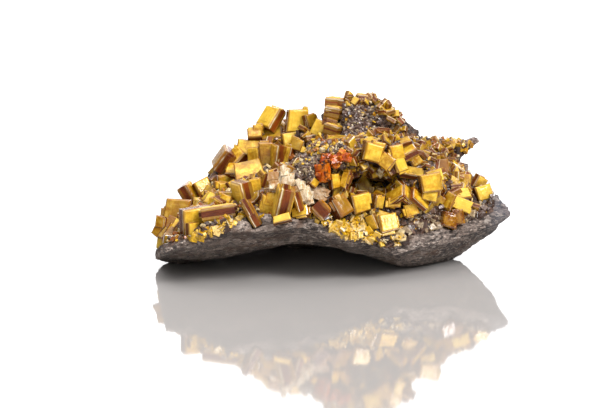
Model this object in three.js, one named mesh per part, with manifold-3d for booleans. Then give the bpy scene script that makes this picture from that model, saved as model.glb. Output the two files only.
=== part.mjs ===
// A cabinet specimen of wulfenite: thick honey-yellow tablets with a brown middle layer,
// grown on an arched slab of dark grey rock with a hollow under its brow.
// Millimetres, +Z up, +X to the right, the front towards -Y, the origin on the floor
// under the middle of the specimen.
import * as THREE from "three";
import { mergeVertices } from "three/addons/utils/BufferGeometryUtils.js";
import Module from "manifold-3d";

const wasm = await Module();
wasm.setup();

// Driving dimensions
const GAP = 0.3; // clear gap between neighbouring pieces
const CELL = 3.5; // spacing of the rock's surface points
const STRAY = 0.7; // how far a surface point strays from its place in the grid, in spacings
const RIM_HEIGHT = 0.9; // thickness that the slab keeps at its broken rim
const HALF_LENGTH = 42; // half of the block that the slab is cut from, along X
const HALF_DEPTH = 30; // the same, along Y
const BLOCK_TOP = 60;
const NEAREST = -30; // the stretch of a sight line that is searched for the rock, along Y
const FARTHEST = 30;
const SMALLEST_BEVELLED = 4.1; // smaller crystals have plain edges

// The front picture of the specimen, seen from a little above. A crystal's place in it is a
// column and a row, and its depth behind the origin is in millimetres.
const VIEW = {
  distance: 430,
  elevation: THREE.MathUtils.degToRad(12),
  target: new THREE.Vector3(-5.46, 0, 13.1),
  middle: { column: 306, row: 204 },
  scale: 0.21, // millimetres that one pixel covers at the target
};

// The rock's broken rim, from the front left corner round to the right, as
// [x, y, height of its upper edge, height of its lower edge]
const RIM = [
  [-33.6, -22, 9.2, 8.2], [-31.2, -20.8, 9.6, 8.6], [-28.8, -19.8, 9.9, 8.9], [-26, -21.4, 11, 10],
  [-23.6, -22.4, 12.3, 11.2], [-20.5, -21.4, 13.6, 12.4], [-15.7, -19.8, 13.2, 12], [-9.7, -19.2, 13.8, 12.6],
  [-5, -16.2, 13.4, 12.2], [-2.5, -17.4, 12.2, 11.2], [0.4, -18.5, 11.3, 10.2], [6, -16, 9.9, 8.8],
  [9.1, -15, 8.8, 7.8], [12.9, -14.5, 7.9, 6.9], [19.4, -11.6, 8.7, 7.7], [24.8, -8.4, 9.5, 8.4],
  [30.1, -5.7, 10.3, 9], [34, -4.6, 11.4, 10], [37.2, -3.5, 12.8, 11.4], [35.6, -0.6, 14.2, 9.4],
  [34.6, 1.2, 15.6, 7.4], [32.4, 4, 16.5, 5], [30.2, 8, 17.4, 4.4], [28.2, 11, 18.2, 8],
  [27, 13.4, 20.8, 18.8],
  [29.6, 16, 23.4, 22.3], [32.6, 18.8, 24, 23], [29, 20.4, 22.6, 20.4], [23, 21.6, 17, 6],
  [14, 22, 13, 1.4], [5, 22.4, 11.5, 0.8], [-5, 22.2, 11, 0.6], [-14, 21, 11.5, 0.6], [-22, 17.4, 10.5, 0.6],
  [-29, 12, 8, 0.6], [-33.6, 6.4, 5, 0.6], [-37.2, -1.2, 3, 1.6], [-36, -8, 5, 3.8], [-35, -15, 7.4, 6.2],
];

// Heights of the rock's upper side, [x, y, z]
const TOP_SPOTS = [
  [-30, -15, 10.6], [-24, -16, 13.4], [-16, -15, 15], [-10, -14.5, 15],
  [-31, -6, 10.4], [-25, -6, 13.6], [-18, -7, 16.4], [-11, -8, 18],
  [-29, 2, 12], [-23, 3, 16], [-17, 3, 19.4], [-10, 1, 21.6], [-30, 8, 11],
  [-23, 9, 18.4], [-17, 11, 22.4], [-11, 13, 25.6], [-5, 12, 26.6], [-12, 17.5, 22.5], [-20, 14, 17.5],
  [-5, -12.5, 17.5], [-2, -7, 23.5], [1, -1, 28], [4, 5, 32], [9, 7, 32.2], [13, 9, 28.4],
  [0, -15, 12.6], [5, -13.4, 12], [12, -12, 11], [15, -10, 12],
  [6, -8, 23.5], [12, -6, 23], [16, -3, 23], [10, 0, 28], [3, 12, 29], [8, 15, 26],
  [19, -8, 13.6], [20, -3, 18.6], [21, 5, 22.2], [19, 12, 24.6], [25, 14.4, 23.6], [29, 17.4, 23.8],
  [18, 18, 22.5], [2, 19, 21], [26, -5, 12.4], [27, 1, 15.6], [26, 7, 18.4], [32, -2, 13.2], [32, 1.6, 14.8],
];

// Heights of its lower side. The feet go a little under the floor, where they are worn flat.
const BASE_SPOTS = [
  [-32.5, 1.6, -0.5], [-29.4, 3.4, -0.5], [-34.6, 0, 1], [-24, -3, 2.4], [-17.5, -8, 4.4],
  [-13.5, -9, 5.4], [-10, -10, 6.6], [-5.5, -11, 7.1], [0.5, -12, 6.8], [5, -10, 5.1], [10, -6.4, 2.8],
  [14.6, -2.5, -0.6], [20, 3, -0.6], [25.4, 7.6, -0.6], [29.4, 5, 2.4], [31.6, 1, 6],
  [-20, 3, 3.2], [-11, -1, 6.6], [0, -2, 6.2], [8, 3, 3.8], [-10, 9, 4.6], [1, 9, 4.4],
  [-8, 16, -1.2], [-4.5, 17.4, -1.2], [12, 14, 2], [20, 15, 3.6], [24, 13, 9], [-20, 12, 2.4],
  [23, -8.4, 6], [28, -4, 6.4], [16, -10, 4.4], [-28, -14, 5.4], [-20, -15, 7.8], [-10, -15, 9.6],
];

// Lumps that stand out of the rock, {at, size}: centre and half widths along X, Y and Z
const LUMPS = [
  { at: [-7.4, -11.6, 18], size: [5, 3.8, 4.2] },
  { at: [-3.6, -9.6, 21.4], size: [4.6, 4, 3.6] },
  { at: [1, -7, 24.4], size: [5.6, 4.6, 3.4] },
  { at: [9.4, -5.6, 25], size: [7, 4.4, 3.4] },
  { at: [4.4, 6.2, 30.2], size: [5, 4.8, 4.6] },
  { at: [9.4, 7, 30], size: [4.6, 4.8, 4.4] },
  { at: [13, 6.4, 26.6], size: [4.4, 4.6, 3.8] },
  { at: [18.2, -6, 17.4], size: [3.6, 4.4, 4.6] },
  { at: [24, -3.4, 12.8], size: [5, 4, 2.6] },
];
const LUMP_ROUGHNESS = 0.26; // share of a lump's size
const LUMP_DETAIL = 1;
const FLATTENED = 0.12; // unevenness below this is smoothed away after a cut

// The hollow under the brow
const HOLLOW = { at: [6.6, -3.6, 18.6], size: [8.2, 10.4, 3.8] };
const HOLLOW_LINING = 0.9; // thickness of the crust on its floor
const LINING_FRONT = -9; // the crust begins behind this Y
const LINING_TOP = 18; // and stays below this height

// The crystals, each as [column, row, proud, width, height, thickness, turn, tilt, lean]
const CRYSTALS = {
  left_front_plate: { material: "honey", tablets: [[194, 224, 1.2, 5.6, 6.8, 3, 26, 4, 1]] },
  left_ledge_tablet: { material: "honey", tablets: [[219, 213, 2.2, 7.3, 6, 3.1, 0, 97, -9]] },
  left_corner_cluster: {
    material: "honey",
    tablets: [
      [178, 212, 0, 5.4, 5.6, 3, -14, 10, 8],
      [171, 231, 0.8, 4, 4.6, 2.2, -18, 20, 16],
      [161, 222, 0.4, 2, 2.4, 1.6, -30, 10, 5],
      [158, 231, 0.2, 2, 2.2, 1.4, -40, 0, 30],
      [162, 241, 0.3, 1.8, 3.4, 1.4, -30, 0, 10],
    ],
  },
  left_rear_tablet: { material: "honey", tablets: [[189, 194, 0.8, 3.6, 4.6, 2.8, 78, 5, -27]] },
  left_rear_blocks: {
    material: "honey",
    tablets: [
      [204, 190, 0.8, 3.4, 4.4, 2.8, 24, 18, -20],
      [214, 202, 0.9, 3.8, 2.8, 2.4, -15, 30, 25],
      [200, 202, 1, 2.4, 1.6, 1.8, 10, 20, 0],
    ],
  },
  left_rear_stack: {
    material: "honey",
    tablets: [
      [223, 180, 0.8, 3.2, 2.4, 2.6, 24, 5, 0],
      [225, 188, 1, 3.4, 2.4, 2.6, 20, 10, 3],
      [226, 198, 1.2, 3.2, 2.9, 2.6, 6, 8, 0],
    ],
  },
  left_tall_tablet: {
    material: "honey",
    tablets: [[244, 197, 1.8, 5, 6.6, 3.1, -64, 4, -15], [251, 214, 2.4, 2.8, 5.4, 2, -75, 0, -27]],
  },
  shelf_plate: {
    material: "honey",
    tablets: [[249, 172, 1.6, 6, 5, 2.2, 8, 55, -14], [235, 171, 0.8, 3.6, 3.4, 1.8, -10, 60, 4]],
  },
  shelf_foot_blocks: {
    material: "honey",
    tablets: [[257, 186, 1.2, 2.8, 3.4, 2.4, -16, 8, -14], [267, 184, 0.8, 3, 3.8, 2, 66, 0, 14]],
  },
  five_sided_block: { material: "honey", tablets: [[268, 205, 1.5, 3.4, 4, 2.6, 10, 6, 14]] },
  middle_tall_tablet: {
    material: "honey",
    tablets: [[283, 203, 2.4, 4.6, 7, 3.4, -82, 2, 11], [282, 219, 2, 3.6, 1.6, 2, 0, 30, -12]],
  },
  middle_slices: {
    material: "honey",
    tablets: [[297, 201, 1.4, 2.8, 3.8, 1.6, -70, 0, -16], [301, 212, 1.4, 3.6, 2.2, 1.8, -20, 30, -20]],
  },
  turned_banded_tablet: { material: "honey", tablets: [[320, 209, 1.5, 3.2, 3.2, 3.3, -80, 0, -42]] },
  lobe_edge_tablets: {
    material: "honey",
    tablets: [[224, 160, 0.8, 4.4, 5, 3.2, -78, 4, 33], [237, 159, 0.9, 4.4, 4.4, 3, -60, 10, 36]],
  },
  lobe_upper_blocks: {
    material: "honey",
    tablets: [[249, 149, 1, 5, 3.6, 2.6, -12, 24, 6], [256, 156, 1.2, 3, 3.8, 2.8, -30, 14, -10]],
  },
  lobe_dark_block: {
    material: "honey",
    tablets: [
      [271, 137, 1.2, 5.2, 4, 2.8, -10, 62, -10],
      [255, 135, 0.8, 3.2, 2.6, 2.2, 0, 50, -4],
      [258, 129, 0.6, 2.2, 1.8, 1.8, 0, 10, 0],
    ],
  },
  lobe_upright_tablets: {
    material: "honey",
    tablets: [
      [267, 154, 1.2, 3, 5, 2.6, -6, 8, -6],
      [278, 157, 1.4, 3.8, 5.2, 2.6, -74, 0, 8],
      [287, 155, 1.2, 2.6, 3.6, 2, -40, 10, 10],
    ],
  },
  summit_tablet: { material: "honey", tablets: [[271, 119, 0.6, 4.2, 5.2, 3, -46, 6, 41]] },
  summit_block: {
    material: "honey",
    tablets: [
      [297, 121, 0.6, 4.6, 5, 3, 12, 10, 2],
      [305, 111, 0.4, 1, 2, 1, 0, 0, 10],
      [310, 121, 0.6, 2.4, 3, 2.2, 30, 10, -10],
    ],
  },
  lobe_right_blocks: {
    material: "honey",
    tablets: [[291, 141, 1, 3.8, 3.4, 2.4, 14, 20, -6], [298, 145, 1, 2.8, 2.6, 2.2, -10, 14, 14]],
  },
  notch_tablet: { material: "honey", tablets: [[320, 129, 0.8, 3, 3.6, 2.4, -30, 10, 24]] },
  peak_stack: {
    material: "honey",
    tablets: [
      [336, 104, 0.2, 3.6, 3, 2.8, -14, 8, 4],
      [334, 112, 0.6, 3.4, 3.2, 2.6, -20, 8, 8],
      [331, 121, 0.8, 3, 3.6, 2.4, -10, 10, 10],
      [333, 130, 0.8, 3, 3.2, 2.4, -30, 8, 12],
    ],
  },
  brow_block: { material: "honey", tablets: [[372, 152, 1.2, 3.8, 3.8, 3.2, 12, 6, 14]] },
  brow_upright_blocks: {
    material: "honey",
    tablets: [
      [386, 161, 1, 3, 3, 2.2, -10, 0, 40],
      [396, 152, 1.2, 3, 3, 2.2, 20, 6, -8],
      [399, 163, 1.2, 2.4, 3.6, 2.2, 22, 0, -20],
    ],
  },
  brow_banded_tablets: {
    material: "honey",
    tablets: [[409, 153, 1.2, 3.4, 3, 2, 10, 76, -26], [413, 161, 1, 3, 2.8, 2.4, 40, 10, -28]],
  },
  brow_low_plate: { material: "honey", tablets: [[411, 173, 0.8, 4.6, 2.6, 1.6, 6, 60, 10]] },
  ledge_banded_block: { material: "honey", tablets: [[340, 207, 1.8, 3.6, 4.2, 3.2, 42, 14, -24]] },
  ledge_middle_blocks: {
    material: "honey",
    tablets: [
      [360, 203, 1.4, 3.8, 3.8, 2.6, 24, 10, -6],
      [372, 200, 1.2, 2.4, 2.8, 1.8, -30, 8, 10],
      [378, 202, 1, 2.2, 2.6, 1.6, 40, 8, 14],
    ],
  },
  ledge_front_blocks: {
    material: "honey",
    tablets: [
      [388, 224, 1.6, 3.8, 3.8, 2.8, 14, 30, -6],
      [383, 219, 1, 3.2, 2.8, 2.2, -20, 30, 20],
      [373, 222, 1, 2, 3.2, 1.8, -30, 10, -30],
    ],
  },
  hood_tablets: {
    material: "honey",
    tablets: [
      [393, 189, 0.8, 4.6, 3, 1.6, -20, 70, -44],
      [396, 196, 1.4, 4.4, 3, 1.6, -20, 64, -36],
      [408, 197, 1.4, 4.4, 3, 1.6, 24, 64, 50],
      [394, 203, 1.4, 2.8, 2, 1.8, 4, 16, 2],
    ],
  },
  hood_foot_block: { material: "honey", tablets: [[411, 210, 1.2, 2.9, 2.6, 2.2, 10, 14, -14]] },
  right_thin_plate: { material: "honey", tablets: [[419, 200, 1, 4.6, 2.6, 1.4, 20, 60, 44]] },
  bright_slope_block: {
    material: "honey",
    tablets: [[430, 183, 1.4, 4.2, 3.8, 2.8, 14, 14, -6], [429, 195, 0.9, 3.2, 2.4, 2.2, 10, 10, 10]],
  },
  right_long_plate: {
    material: "honey",
    tablets: [[461, 204, 1, 4.8, 2.4, 1.8, 14, 30, 12], [450, 201, 1, 2.4, 3.4, 1.6, -40, 10, 20]],
  },
  right_end_blocks: {
    material: "honey",
    tablets: [[483, 193, 0.9, 3.6, 3.2, 2, 24, 14, -12], [479, 182, 0.6, 2.8, 2.6, 2, 30, 10, 36]],
  },
  calcite_block: { material: "cream", tablets: [[282, 180, 1.6, 4.8, 4.8, 3, -10, 10, -8]] },
  calcite_patch: {
    material: "cream",
    tablets: [[302, 194, 0.8, 3.4, 5.2, 2, -20, 10, -24], [317, 193, 0.8, 4.4, 2.6, 1.8, 0, 20, 20]],
  },
  orange_tablet: { material: "orange", tablets: [[323, 172, 1, 2.8, 3.4, 2, -30, 10, -14]] },
  orange_crystals: {
    material: "orange",
    tablets: [
      [326, 160, 0.8, 2.4, 2, 1.8, 0, 20, 20],
      [335, 161, 0.8, 2.4, 1.8, 1.6, 20, 30, -10],
      [344, 157, 0.8, 2.6, 1.8, 1.6, -20, 20, 10],
    ],
  },
  amber_crystals: {
    material: "amber",
    tablets: [[449, 220, 1, 3.2, 3.2, 2.4, 10, 20, 20], [459, 217, 0.9, 2.2, 3, 2, -10, 10, -10]],
  },
};

// The crystals on the floor of the hollow
const HOLLOW_CRYSTALS = [
  [346, 180, 1.4, 1.8, 3.2, 1.4, -50, 6, 12], [351, 189, 1, 1.2, 3, 1, -20, 10, -42],
  [358, 183, 1.2, 1.2, 3.2, 1, 30, 10, 44], [365, 184, 1, 3, 2.8, 1.6, 14, 20, -20],
  [379, 193, 1, 2.6, 2.4, 1.6, -10, 20, 10], [334, 181, 0.8, 2.2, 3, 1.6, 40, 10, 0],
];

// The crystals of the back, each as [x, y, width, height, thickness, turn, tilt, lean]
const BACK_CRYSTALS = [
  [-24, 11, 4.2, 4, 2.8, 160, 25, -20], [-18, 15, 4.6, 4.2, 3, 200, 20, 15],
  [-12, 16.5, 4.4, 4.6, 3, 170, 15, -30], [-15, 11, 3.6, 3.4, 2.4, 120, 30, 20],
  [-6, 15, 4, 3.6, 2.6, 190, 10, 25],
  [-8, 19.5, 3.6, 3, 2.4, 160, 35, 0], [-19, 18, 3.2, 3, 2.2, 150, 30, 30],
  [0, 12, 3.6, 3.4, 2.4, 175, 20, -10],
  [5, 13.5, 3.2, 3, 2, 200, 20, 35], [11, 13.5, 3, 3, 2, 160, 25, 0], [1, 18.5, 3.4, 3, 2.2, 185, 30, 15],
  [9, 18.5, 2.8, 2.8, 2, 150, 30, -20], [17, 14.5, 3, 2.6, 2, 190, 40, 10],
  [20, 9, 2.6, 2.6, 1.8, 90, 40, 20],
  [24, 4, 2.8, 2.6, 1.8, 60, 50, 0],
];
const BACK_SINK = 0.35; // share of such a crystal's height that is in the rock

// The smallest crystals of the front, which are one with the rock like those of the back
const SMALL_CRYSTALS = [
  [206, 231, 0.2, 4.4, 1.4, 1.2, 0, 30, -27], [225, 222, 0.2, 3.6, 1.4, 1.2, 0, 30, -30],
  [270, 219, 1.2, 2.6, 1.6, 1.8, 0, 30, 8], [223, 173, 0.7, 3, 1.8, 2, 0, 40, 0],
  [306, 137, 0.6, 2.8, 2, 1.8, 0, 50, 0], [383, 107, 0.2, 2.4, 2.2, 1.6, 10, 10, 30],
  [393, 117, 0.2, 2, 1.7, 1.4, 20, 10, 10], [403, 129, 0.2, 2.4, 2.6, 1.8, 24, 6, -10],
  [361, 158, 0.8, 1.4, 4.2, 1, -40, 0, -16], [373, 212, 1, 2.2, 2, 1.8, 10, 10, 0],
  [338, 230, 0.4, 3, 1.6, 1.4, -10, 40, -10], [387, 236, 0.5, 3.6, 1.8, 1.6, 10, 40, 0],
  [398, 237, 0.4, 2.2, 2, 1.4, 0, 30, 10], [428, 165, 0.6, 2.2, 2.2, 1.5, 10, 10, 10],
  [435, 156, 0.5, 2.8, 2.2, 1.8, 10, 40, -20], [454, 173, 0.4, 1.8, 2, 1.4, 0, 10, 10],
  [464, 166, 0, 2, 2, 1.8, 16, 10, 24], [471, 218, 0.4, 2.2, 2.8, 1.4, 10, 20, -10],
  [461, 149, 0.3, 2.6, 2.4, 1.8, 20, 10, 40], [444, 145, 0.3, 2.2, 2.2, 1.6, 10, 10, 0],
  [427, 213, 0.6, 2.4, 1.4, 1.4, 0, 20, 5], [313, 178, 0.5, 2.2, 1.8, 1.5, 0, 20, 20],
];

// A smooth repeating hash of whole numbers, from 0 to 1
function hash(i, j, k) {
  const s = Math.sin(i * 127.1 + j * 311.7 + k * 74.7) * 43758.5453;
  return s - Math.floor(s);
}

// Value noise, from -1 to 1
function noise(x, y, z) {
  const cell = [Math.floor(x), Math.floor(y), Math.floor(z)];
  const f = [x - cell[0], y - cell[1], z - cell[2]].map((t) => t * t * (3 - 2 * t));
  let sum = 0;
  for (let corner = 0; corner < 8; corner++) {
    const bit = [corner & 1, (corner >> 1) & 1, corner >> 2];
    const share = bit.reduce((w, b, n) => w * (b ? f[n] : 1 - f[n]), 1);
    sum += share * hash(cell[0] + bit[0], cell[1] + bit[1], cell[2] + bit[2]);
  }
  return 2 * sum - 1;
}

// A surface through given heights: a sum of cones round the spots, found by elimination.
function surfaceThrough(spots) {
  const softness = 1.2;
  const cone = (x, y, s) => Math.sqrt((x - s[0]) ** 2 + (y - s[1]) ** 2 + softness ** 2);
  const mean = spots.reduce((sum, s) => sum + s[2], 0) / spots.length;
  const rows = spots.map((a) => [...spots.map((b) => cone(a[0], a[1], b)), a[2] - mean]);
  const n = rows.length;
  for (let i = 0; i < n; i++) {
    let best = i;
    for (let r = i + 1; r < n; r++) if (Math.abs(rows[r][i]) > Math.abs(rows[best][i])) best = r;
    [rows[i], rows[best]] = [rows[best], rows[i]];
    for (let r = 0; r < n; r++) {
      if (r === i) continue;
      const share = rows[r][i] / rows[i][i];
      for (let c = i; c <= n; c++) rows[r][c] -= share * rows[i][c];
    }
  }
  const weights = rows.map((row, i) => row[n] / row[i]);
  return (x, y) => mean + spots.reduce((sum, s, i) => sum + weights[i] * cone(x, y, s), 0);
}

const smoothTop = surfaceThrough([...RIM.map(([x, y, upper]) => [x, y, upper]), ...TOP_SPOTS]);
const smoothBase = surfaceThrough([...RIM.map(([x, y, , lower]) => [x, y, lower]), ...BASE_SPOTS]);
const roughness = (x, y) => 0.7 * noise(x / 3.4, y / 3.4, 2) + 0.3 * noise(x / 1.6, y / 1.6, 5);
const rockTop = (x, y) => smoothTop(x, y) + roughness(x, y);
const rockBase = (x, y) => {
  const low = smoothBase(x, y) + 0.45 * noise(x / 4.2, y / 4.2, 9);
  return Math.min(low, rockTop(x, y) - RIM_HEIGHT);
};

// A closed three.js geometry as a solid
function solidOf(geometry) {
  const bare = geometry.index ? geometry.toNonIndexed() : geometry.clone();
  for (const name of Object.keys(bare.attributes)) if (name !== "position") bare.deleteAttribute(name);
  const merged = mergeVertices(bare, 1e-4);
  return new wasm.Manifold(
    new wasm.Mesh({
      numProp: 3,
      vertProperties: new Float32Array(merged.attributes.position.array),
      triVerts: new Uint32Array(merged.index.array),
    }),
  );
}

function geometryOf(solid) {
  const mesh = solid.getMesh();
  const points = new Float32Array(mesh.numVert * 3);
  for (let i = 0; i < mesh.numVert; i++) {
    points.set(mesh.vertProperties.subarray(i * mesh.numProp, i * mesh.numProp + 3), i * 3);
  }
  const geometry = new THREE.BufferGeometry();
  geometry.setAttribute("position", new THREE.BufferAttribute(points, 3));
  geometry.setIndex(new THREE.BufferAttribute(new Uint32Array(mesh.triVerts), 1));
  return geometry;
}

// The slab between the two surfaces, as a closed grid that reaches past the rim
function slabBlock() {
  const columns = Math.ceil((2 * HALF_LENGTH) / CELL);
  const rows = Math.ceil((2 * HALF_DEPTH) / CELL);
  const points = [];
  const triangles = [];
  for (const height of [rockTop, rockBase]) {
    for (let j = 0; j <= rows; j++) {
      for (let i = 0; i <= columns; i++) {
        const x = -HALF_LENGTH + CELL * (i + STRAY * (hash(i, j, 1) - 0.5));
        const y = -HALF_DEPTH + CELL * (j + STRAY * (hash(j, i, 7) - 0.5));
        points.push(x, y, height(x, y));
      }
    }
  }
  const under = (columns + 1) * (rows + 1);
  const at = (i, j) => j * (columns + 1) + i;
  const quad = (a, b, c, d) => triangles.push(a, b, c, a, c, d);
  for (let j = 0; j < rows; j++) {
    for (let i = 0; i < columns; i++) {
      quad(at(i, j), at(i + 1, j), at(i + 1, j + 1), at(i, j + 1));
      quad(under + at(i, j), under + at(i, j + 1), under + at(i + 1, j + 1), under + at(i + 1, j));
    }
  }
  for (let i = 0; i < columns; i++) {
    quad(at(i, 0), under + at(i, 0), under + at(i + 1, 0), at(i + 1, 0));
    quad(at(i + 1, rows), under + at(i + 1, rows), under + at(i, rows), at(i, rows));
  }
  for (let j = 0; j < rows; j++) {
    quad(at(0, j + 1), under + at(0, j + 1), under + at(0, j), at(0, j));
    quad(at(columns, j), under + at(columns, j), under + at(columns, j + 1), at(columns, j + 1));
  }
  const geometry = new THREE.BufferGeometry();
  geometry.setAttribute("position", new THREE.BufferAttribute(new Float32Array(points), 3));
  geometry.setIndex(triangles);
  return solidOf(geometry);
}

// The plan of the rim, pushed straight up
function rimPrism() {
  const outline = new THREE.Shape(RIM.map(([x, y]) => new THREE.Vector2(x, y)));
  return solidOf(new THREE.ExtrudeGeometry(outline, { depth: BLOCK_TOP, bevelEnabled: false }));
}

// A rough egg-shaped lump
function lump({ at, size }, grow = 0) {
  const geometry = new THREE.IcosahedronGeometry(1, LUMP_DETAIL);
  const place = geometry.getAttribute("position");
  const point = new THREE.Vector3();
  const half = new THREE.Vector3(...size);
  for (let i = 0; i < place.count; i++) {
    point.fromBufferAttribute(place, i);
    const rough = 1 + LUMP_ROUGHNESS * noise(point.x * 2 + at[0], point.y * 2 + at[1], point.z * 2 + at[2]);
    point.multiply(half.clone().multiplyScalar(rough).addScalar(grow));
    place.setXYZ(i, point.x, point.y, point.z);
  }
  return solidOf(geometry.translate(...at));
}

function rock() {
  const ground = slabBlock().intersect(rimPrism());
  return LUMPS.reduce((solid, one) => solid.add(lump(one)), ground).subtract(lump(HOLLOW));
}

// A thin crust on the floor of the hollow, with its crystals
function hollowCrust() {
  const reach = new THREE.BoxGeometry(60, 40, 40).translate(HOLLOW.at[0], LINING_FRONT + 20, LINING_TOP - 20);
  const lining = lump(HOLLOW, -GAP).subtract(lump(HOLLOW, -GAP - HOLLOW_LINING)).intersect(solidOf(reach));
  return joined(HOLLOW_CRYSTALS.map((record) => tablet(record))).add(lining);
}

// The sight line through a column and a row of the picture
function sightLine(column, row) {
  const { distance, elevation, target, middle, scale } = VIEW;
  const away = new THREE.Vector3(0, -Math.cos(elevation), Math.sin(elevation));
  const eye = away.multiplyScalar(distance).add(target);
  const right = (column - middle.column) * scale;
  const up = (middle.row - row) * scale;
  const seen = new THREE.Vector3(right, Math.sin(elevation) * up, Math.cos(elevation) * up).add(target);
  return { eye, direction: seen.sub(eye).normalize() };
}

// How far a point is above the smooth rock. In the hollow it counts as above.
function clearance(point) {
  const place = [point.x, point.y, point.z];
  const inside = ({ at, size }) => Math.hypot(...place.map((value, i) => (value - at[i]) / size[i]));
  let top = smoothTop(point.x, point.y);
  for (const { at, size } of LUMPS) {
    const flat = ((point.x - at[0]) / size[0]) ** 2 + ((point.y - at[1]) / size[1]) ** 2;
    if (flat < 1) top = Math.max(top, at[2] + size[2] * Math.sqrt(1 - flat));
  }
  const above = point.z - top;
  return inside(HOLLOW) < 1 ? Math.max(above, 0.1) : above;
}

// Where a sight line meets the rock, or where it passes closest over it
function spotOnRock(column, row) {
  const { eye, direction } = sightLine(column, row);
  const step = 0.25;
  let best = null;
  let least = Infinity;
  for (let y = NEAREST; y < FARTHEST; y += step) {
    const point = eye.clone().addScaledVector(direction, (y - eye.y) / direction.y);
    const height = clearance(point);
    if (height < least - 1e-9) {
      least = height;
      best = point;
    }
    if (height < 0) break;
  }
  return { point: best, direction };
}

// A square tablet with bevelled edges, or the plain block round it that is grown by a margin.
// It faces the front, then tilts up, turns to the right and leans over to the right, in degrees.
function tabletAt(place, width, height, thickness, turn, tilt, lean, grow) {
  const plain = grow > 0 || Math.max(width, height) < SMALLEST_BEVELLED;
  let geometry = new THREE.BoxGeometry(width + 2 * grow, height + 2 * grow, thickness + 2 * grow);
  if (!plain) {
    const bevel = Math.min(0.24 * thickness, 0.2 * width, 0.2 * height);
    const x = width / 2 - bevel;
    const y = height / 2 - bevel;
    const corners = [[-x, -y], [x, -y], [x, y], [-x, y]].map(([u, v]) => new THREE.Vector2(u, v));
    geometry = new THREE.ExtrudeGeometry(new THREE.Shape(corners), {
      depth: thickness - 2 * bevel,
      bevelThickness: bevel,
      bevelSize: bevel,
      bevelSegments: 1,
    }).translate(0, 0, bevel - thickness / 2);
  }
  geometry.rotateX(Math.PI / 2 - THREE.MathUtils.degToRad(tilt));
  geometry.rotateZ(THREE.MathUtils.degToRad(turn));
  geometry.rotateY(THREE.MathUtils.degToRad(lean));
  return solidOf(geometry.translate(...place.toArray()));
}

// A crystal of the front stands `proud` millimetres before the rock that its picture place shows.
function tablet([column, row, proud, ...shape], grow = 0) {
  const { point, direction } = spotOnRock(column, row);
  return tabletAt(point.addScaledVector(direction, -proud), ...shape, grow);
}

function backTablet([x, y, width, height, ...shape]) {
  const place = new THREE.Vector3(x, y, smoothTop(x, y) + (0.5 - BACK_SINK) * height);
  return tabletAt(place, width, height, ...shape, 0);
}

// The body that is left when the crumbs of a cut are dropped
function largestBody(solid) {
  const bodies = solid.decompose();
  return bodies.reduce((best, body) => (body.volume() > best.volume() ? body : best));
}

function joined(solids) {
  return solids.reduce((sum, one) => sum.add(one));
}

const group = new THREE.Group();

function addPiece(name, solid, material) {
  const mesh = new THREE.Mesh(geometryOf(solid), material);
  mesh.name = name;
  group.add(mesh);
}

const materials = {
  slate: new THREE.MeshStandardMaterial({ color: 0x5a5654, roughness: 0.85 }),
  honey: new THREE.MeshStandardMaterial({ color: 0xd9a536, roughness: 0.35 }),
  cream: new THREE.MeshStandardMaterial({ color: 0xe6d6b4, roughness: 0.4 }),
  orange: new THREE.MeshStandardMaterial({ color: 0xc4560f, roughness: 0.3 }),
  amber: new THREE.MeshStandardMaterial({ color: 0x6b3a14, roughness: 0.15 }),
};

// Every group gives way to the ones before it, so that a gap stays between the pieces.
let taken = null;
for (const [name, { material, tablets }] of Object.entries(CRYSTALS)) {
  const own = joined(tablets.map((record) => tablet(record)));
  addPiece(name, largestBody(taken ? own.subtract(taken) : own), materials[material]);
  const room = joined(tablets.map((record) => tablet(record, GAP)));
  taken = taken ? taken.add(room) : room;
}
addPiece("hollow_crust", largestBody(hollowCrust().subtract(taken).simplify(FLATTENED)), materials.honey);
taken = taken.add(joined(HOLLOW_CRYSTALS.map((record) => tablet(record, GAP))));

// The rock has a socket for every crystal. The smallest crystals are one with it.
const small = joined([...SMALL_CRYSTALS.map((record) => tablet(record)), ...BACK_CRYSTALS.map(backTablet)]);
const floorUp = solidOf(new THREE.BoxGeometry(200, 200, BLOCK_TOP).translate(0, 0, BLOCK_TOP / 2));
const bare = rock().simplify(FLATTENED).add(small).intersect(floorUp);
addPiece("matrix", largestBody(bare.subtract(taken).simplify(FLATTENED)), materials.slate);

export default group;
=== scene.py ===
# A cabinet specimen of wulfenite on its rock, dressed over the CAD frame. Metres, +Z up.
import math

import bpy
import numpy as np
from mathutils import Matrix, Vector, noise
from mathutils.bvhtree import BVHTree


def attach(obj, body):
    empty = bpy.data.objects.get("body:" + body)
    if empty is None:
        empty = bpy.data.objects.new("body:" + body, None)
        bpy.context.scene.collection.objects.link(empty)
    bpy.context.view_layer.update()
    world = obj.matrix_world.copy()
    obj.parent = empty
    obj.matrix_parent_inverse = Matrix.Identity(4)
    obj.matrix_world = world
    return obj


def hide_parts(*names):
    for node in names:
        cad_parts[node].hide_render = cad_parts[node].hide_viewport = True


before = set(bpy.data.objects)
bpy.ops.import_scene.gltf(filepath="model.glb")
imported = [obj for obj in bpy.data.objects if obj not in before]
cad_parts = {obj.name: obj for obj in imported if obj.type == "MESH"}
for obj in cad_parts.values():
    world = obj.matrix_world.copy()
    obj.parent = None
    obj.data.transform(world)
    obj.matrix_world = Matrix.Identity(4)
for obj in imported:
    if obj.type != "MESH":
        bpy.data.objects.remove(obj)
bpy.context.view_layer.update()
MM = 0.001

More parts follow.
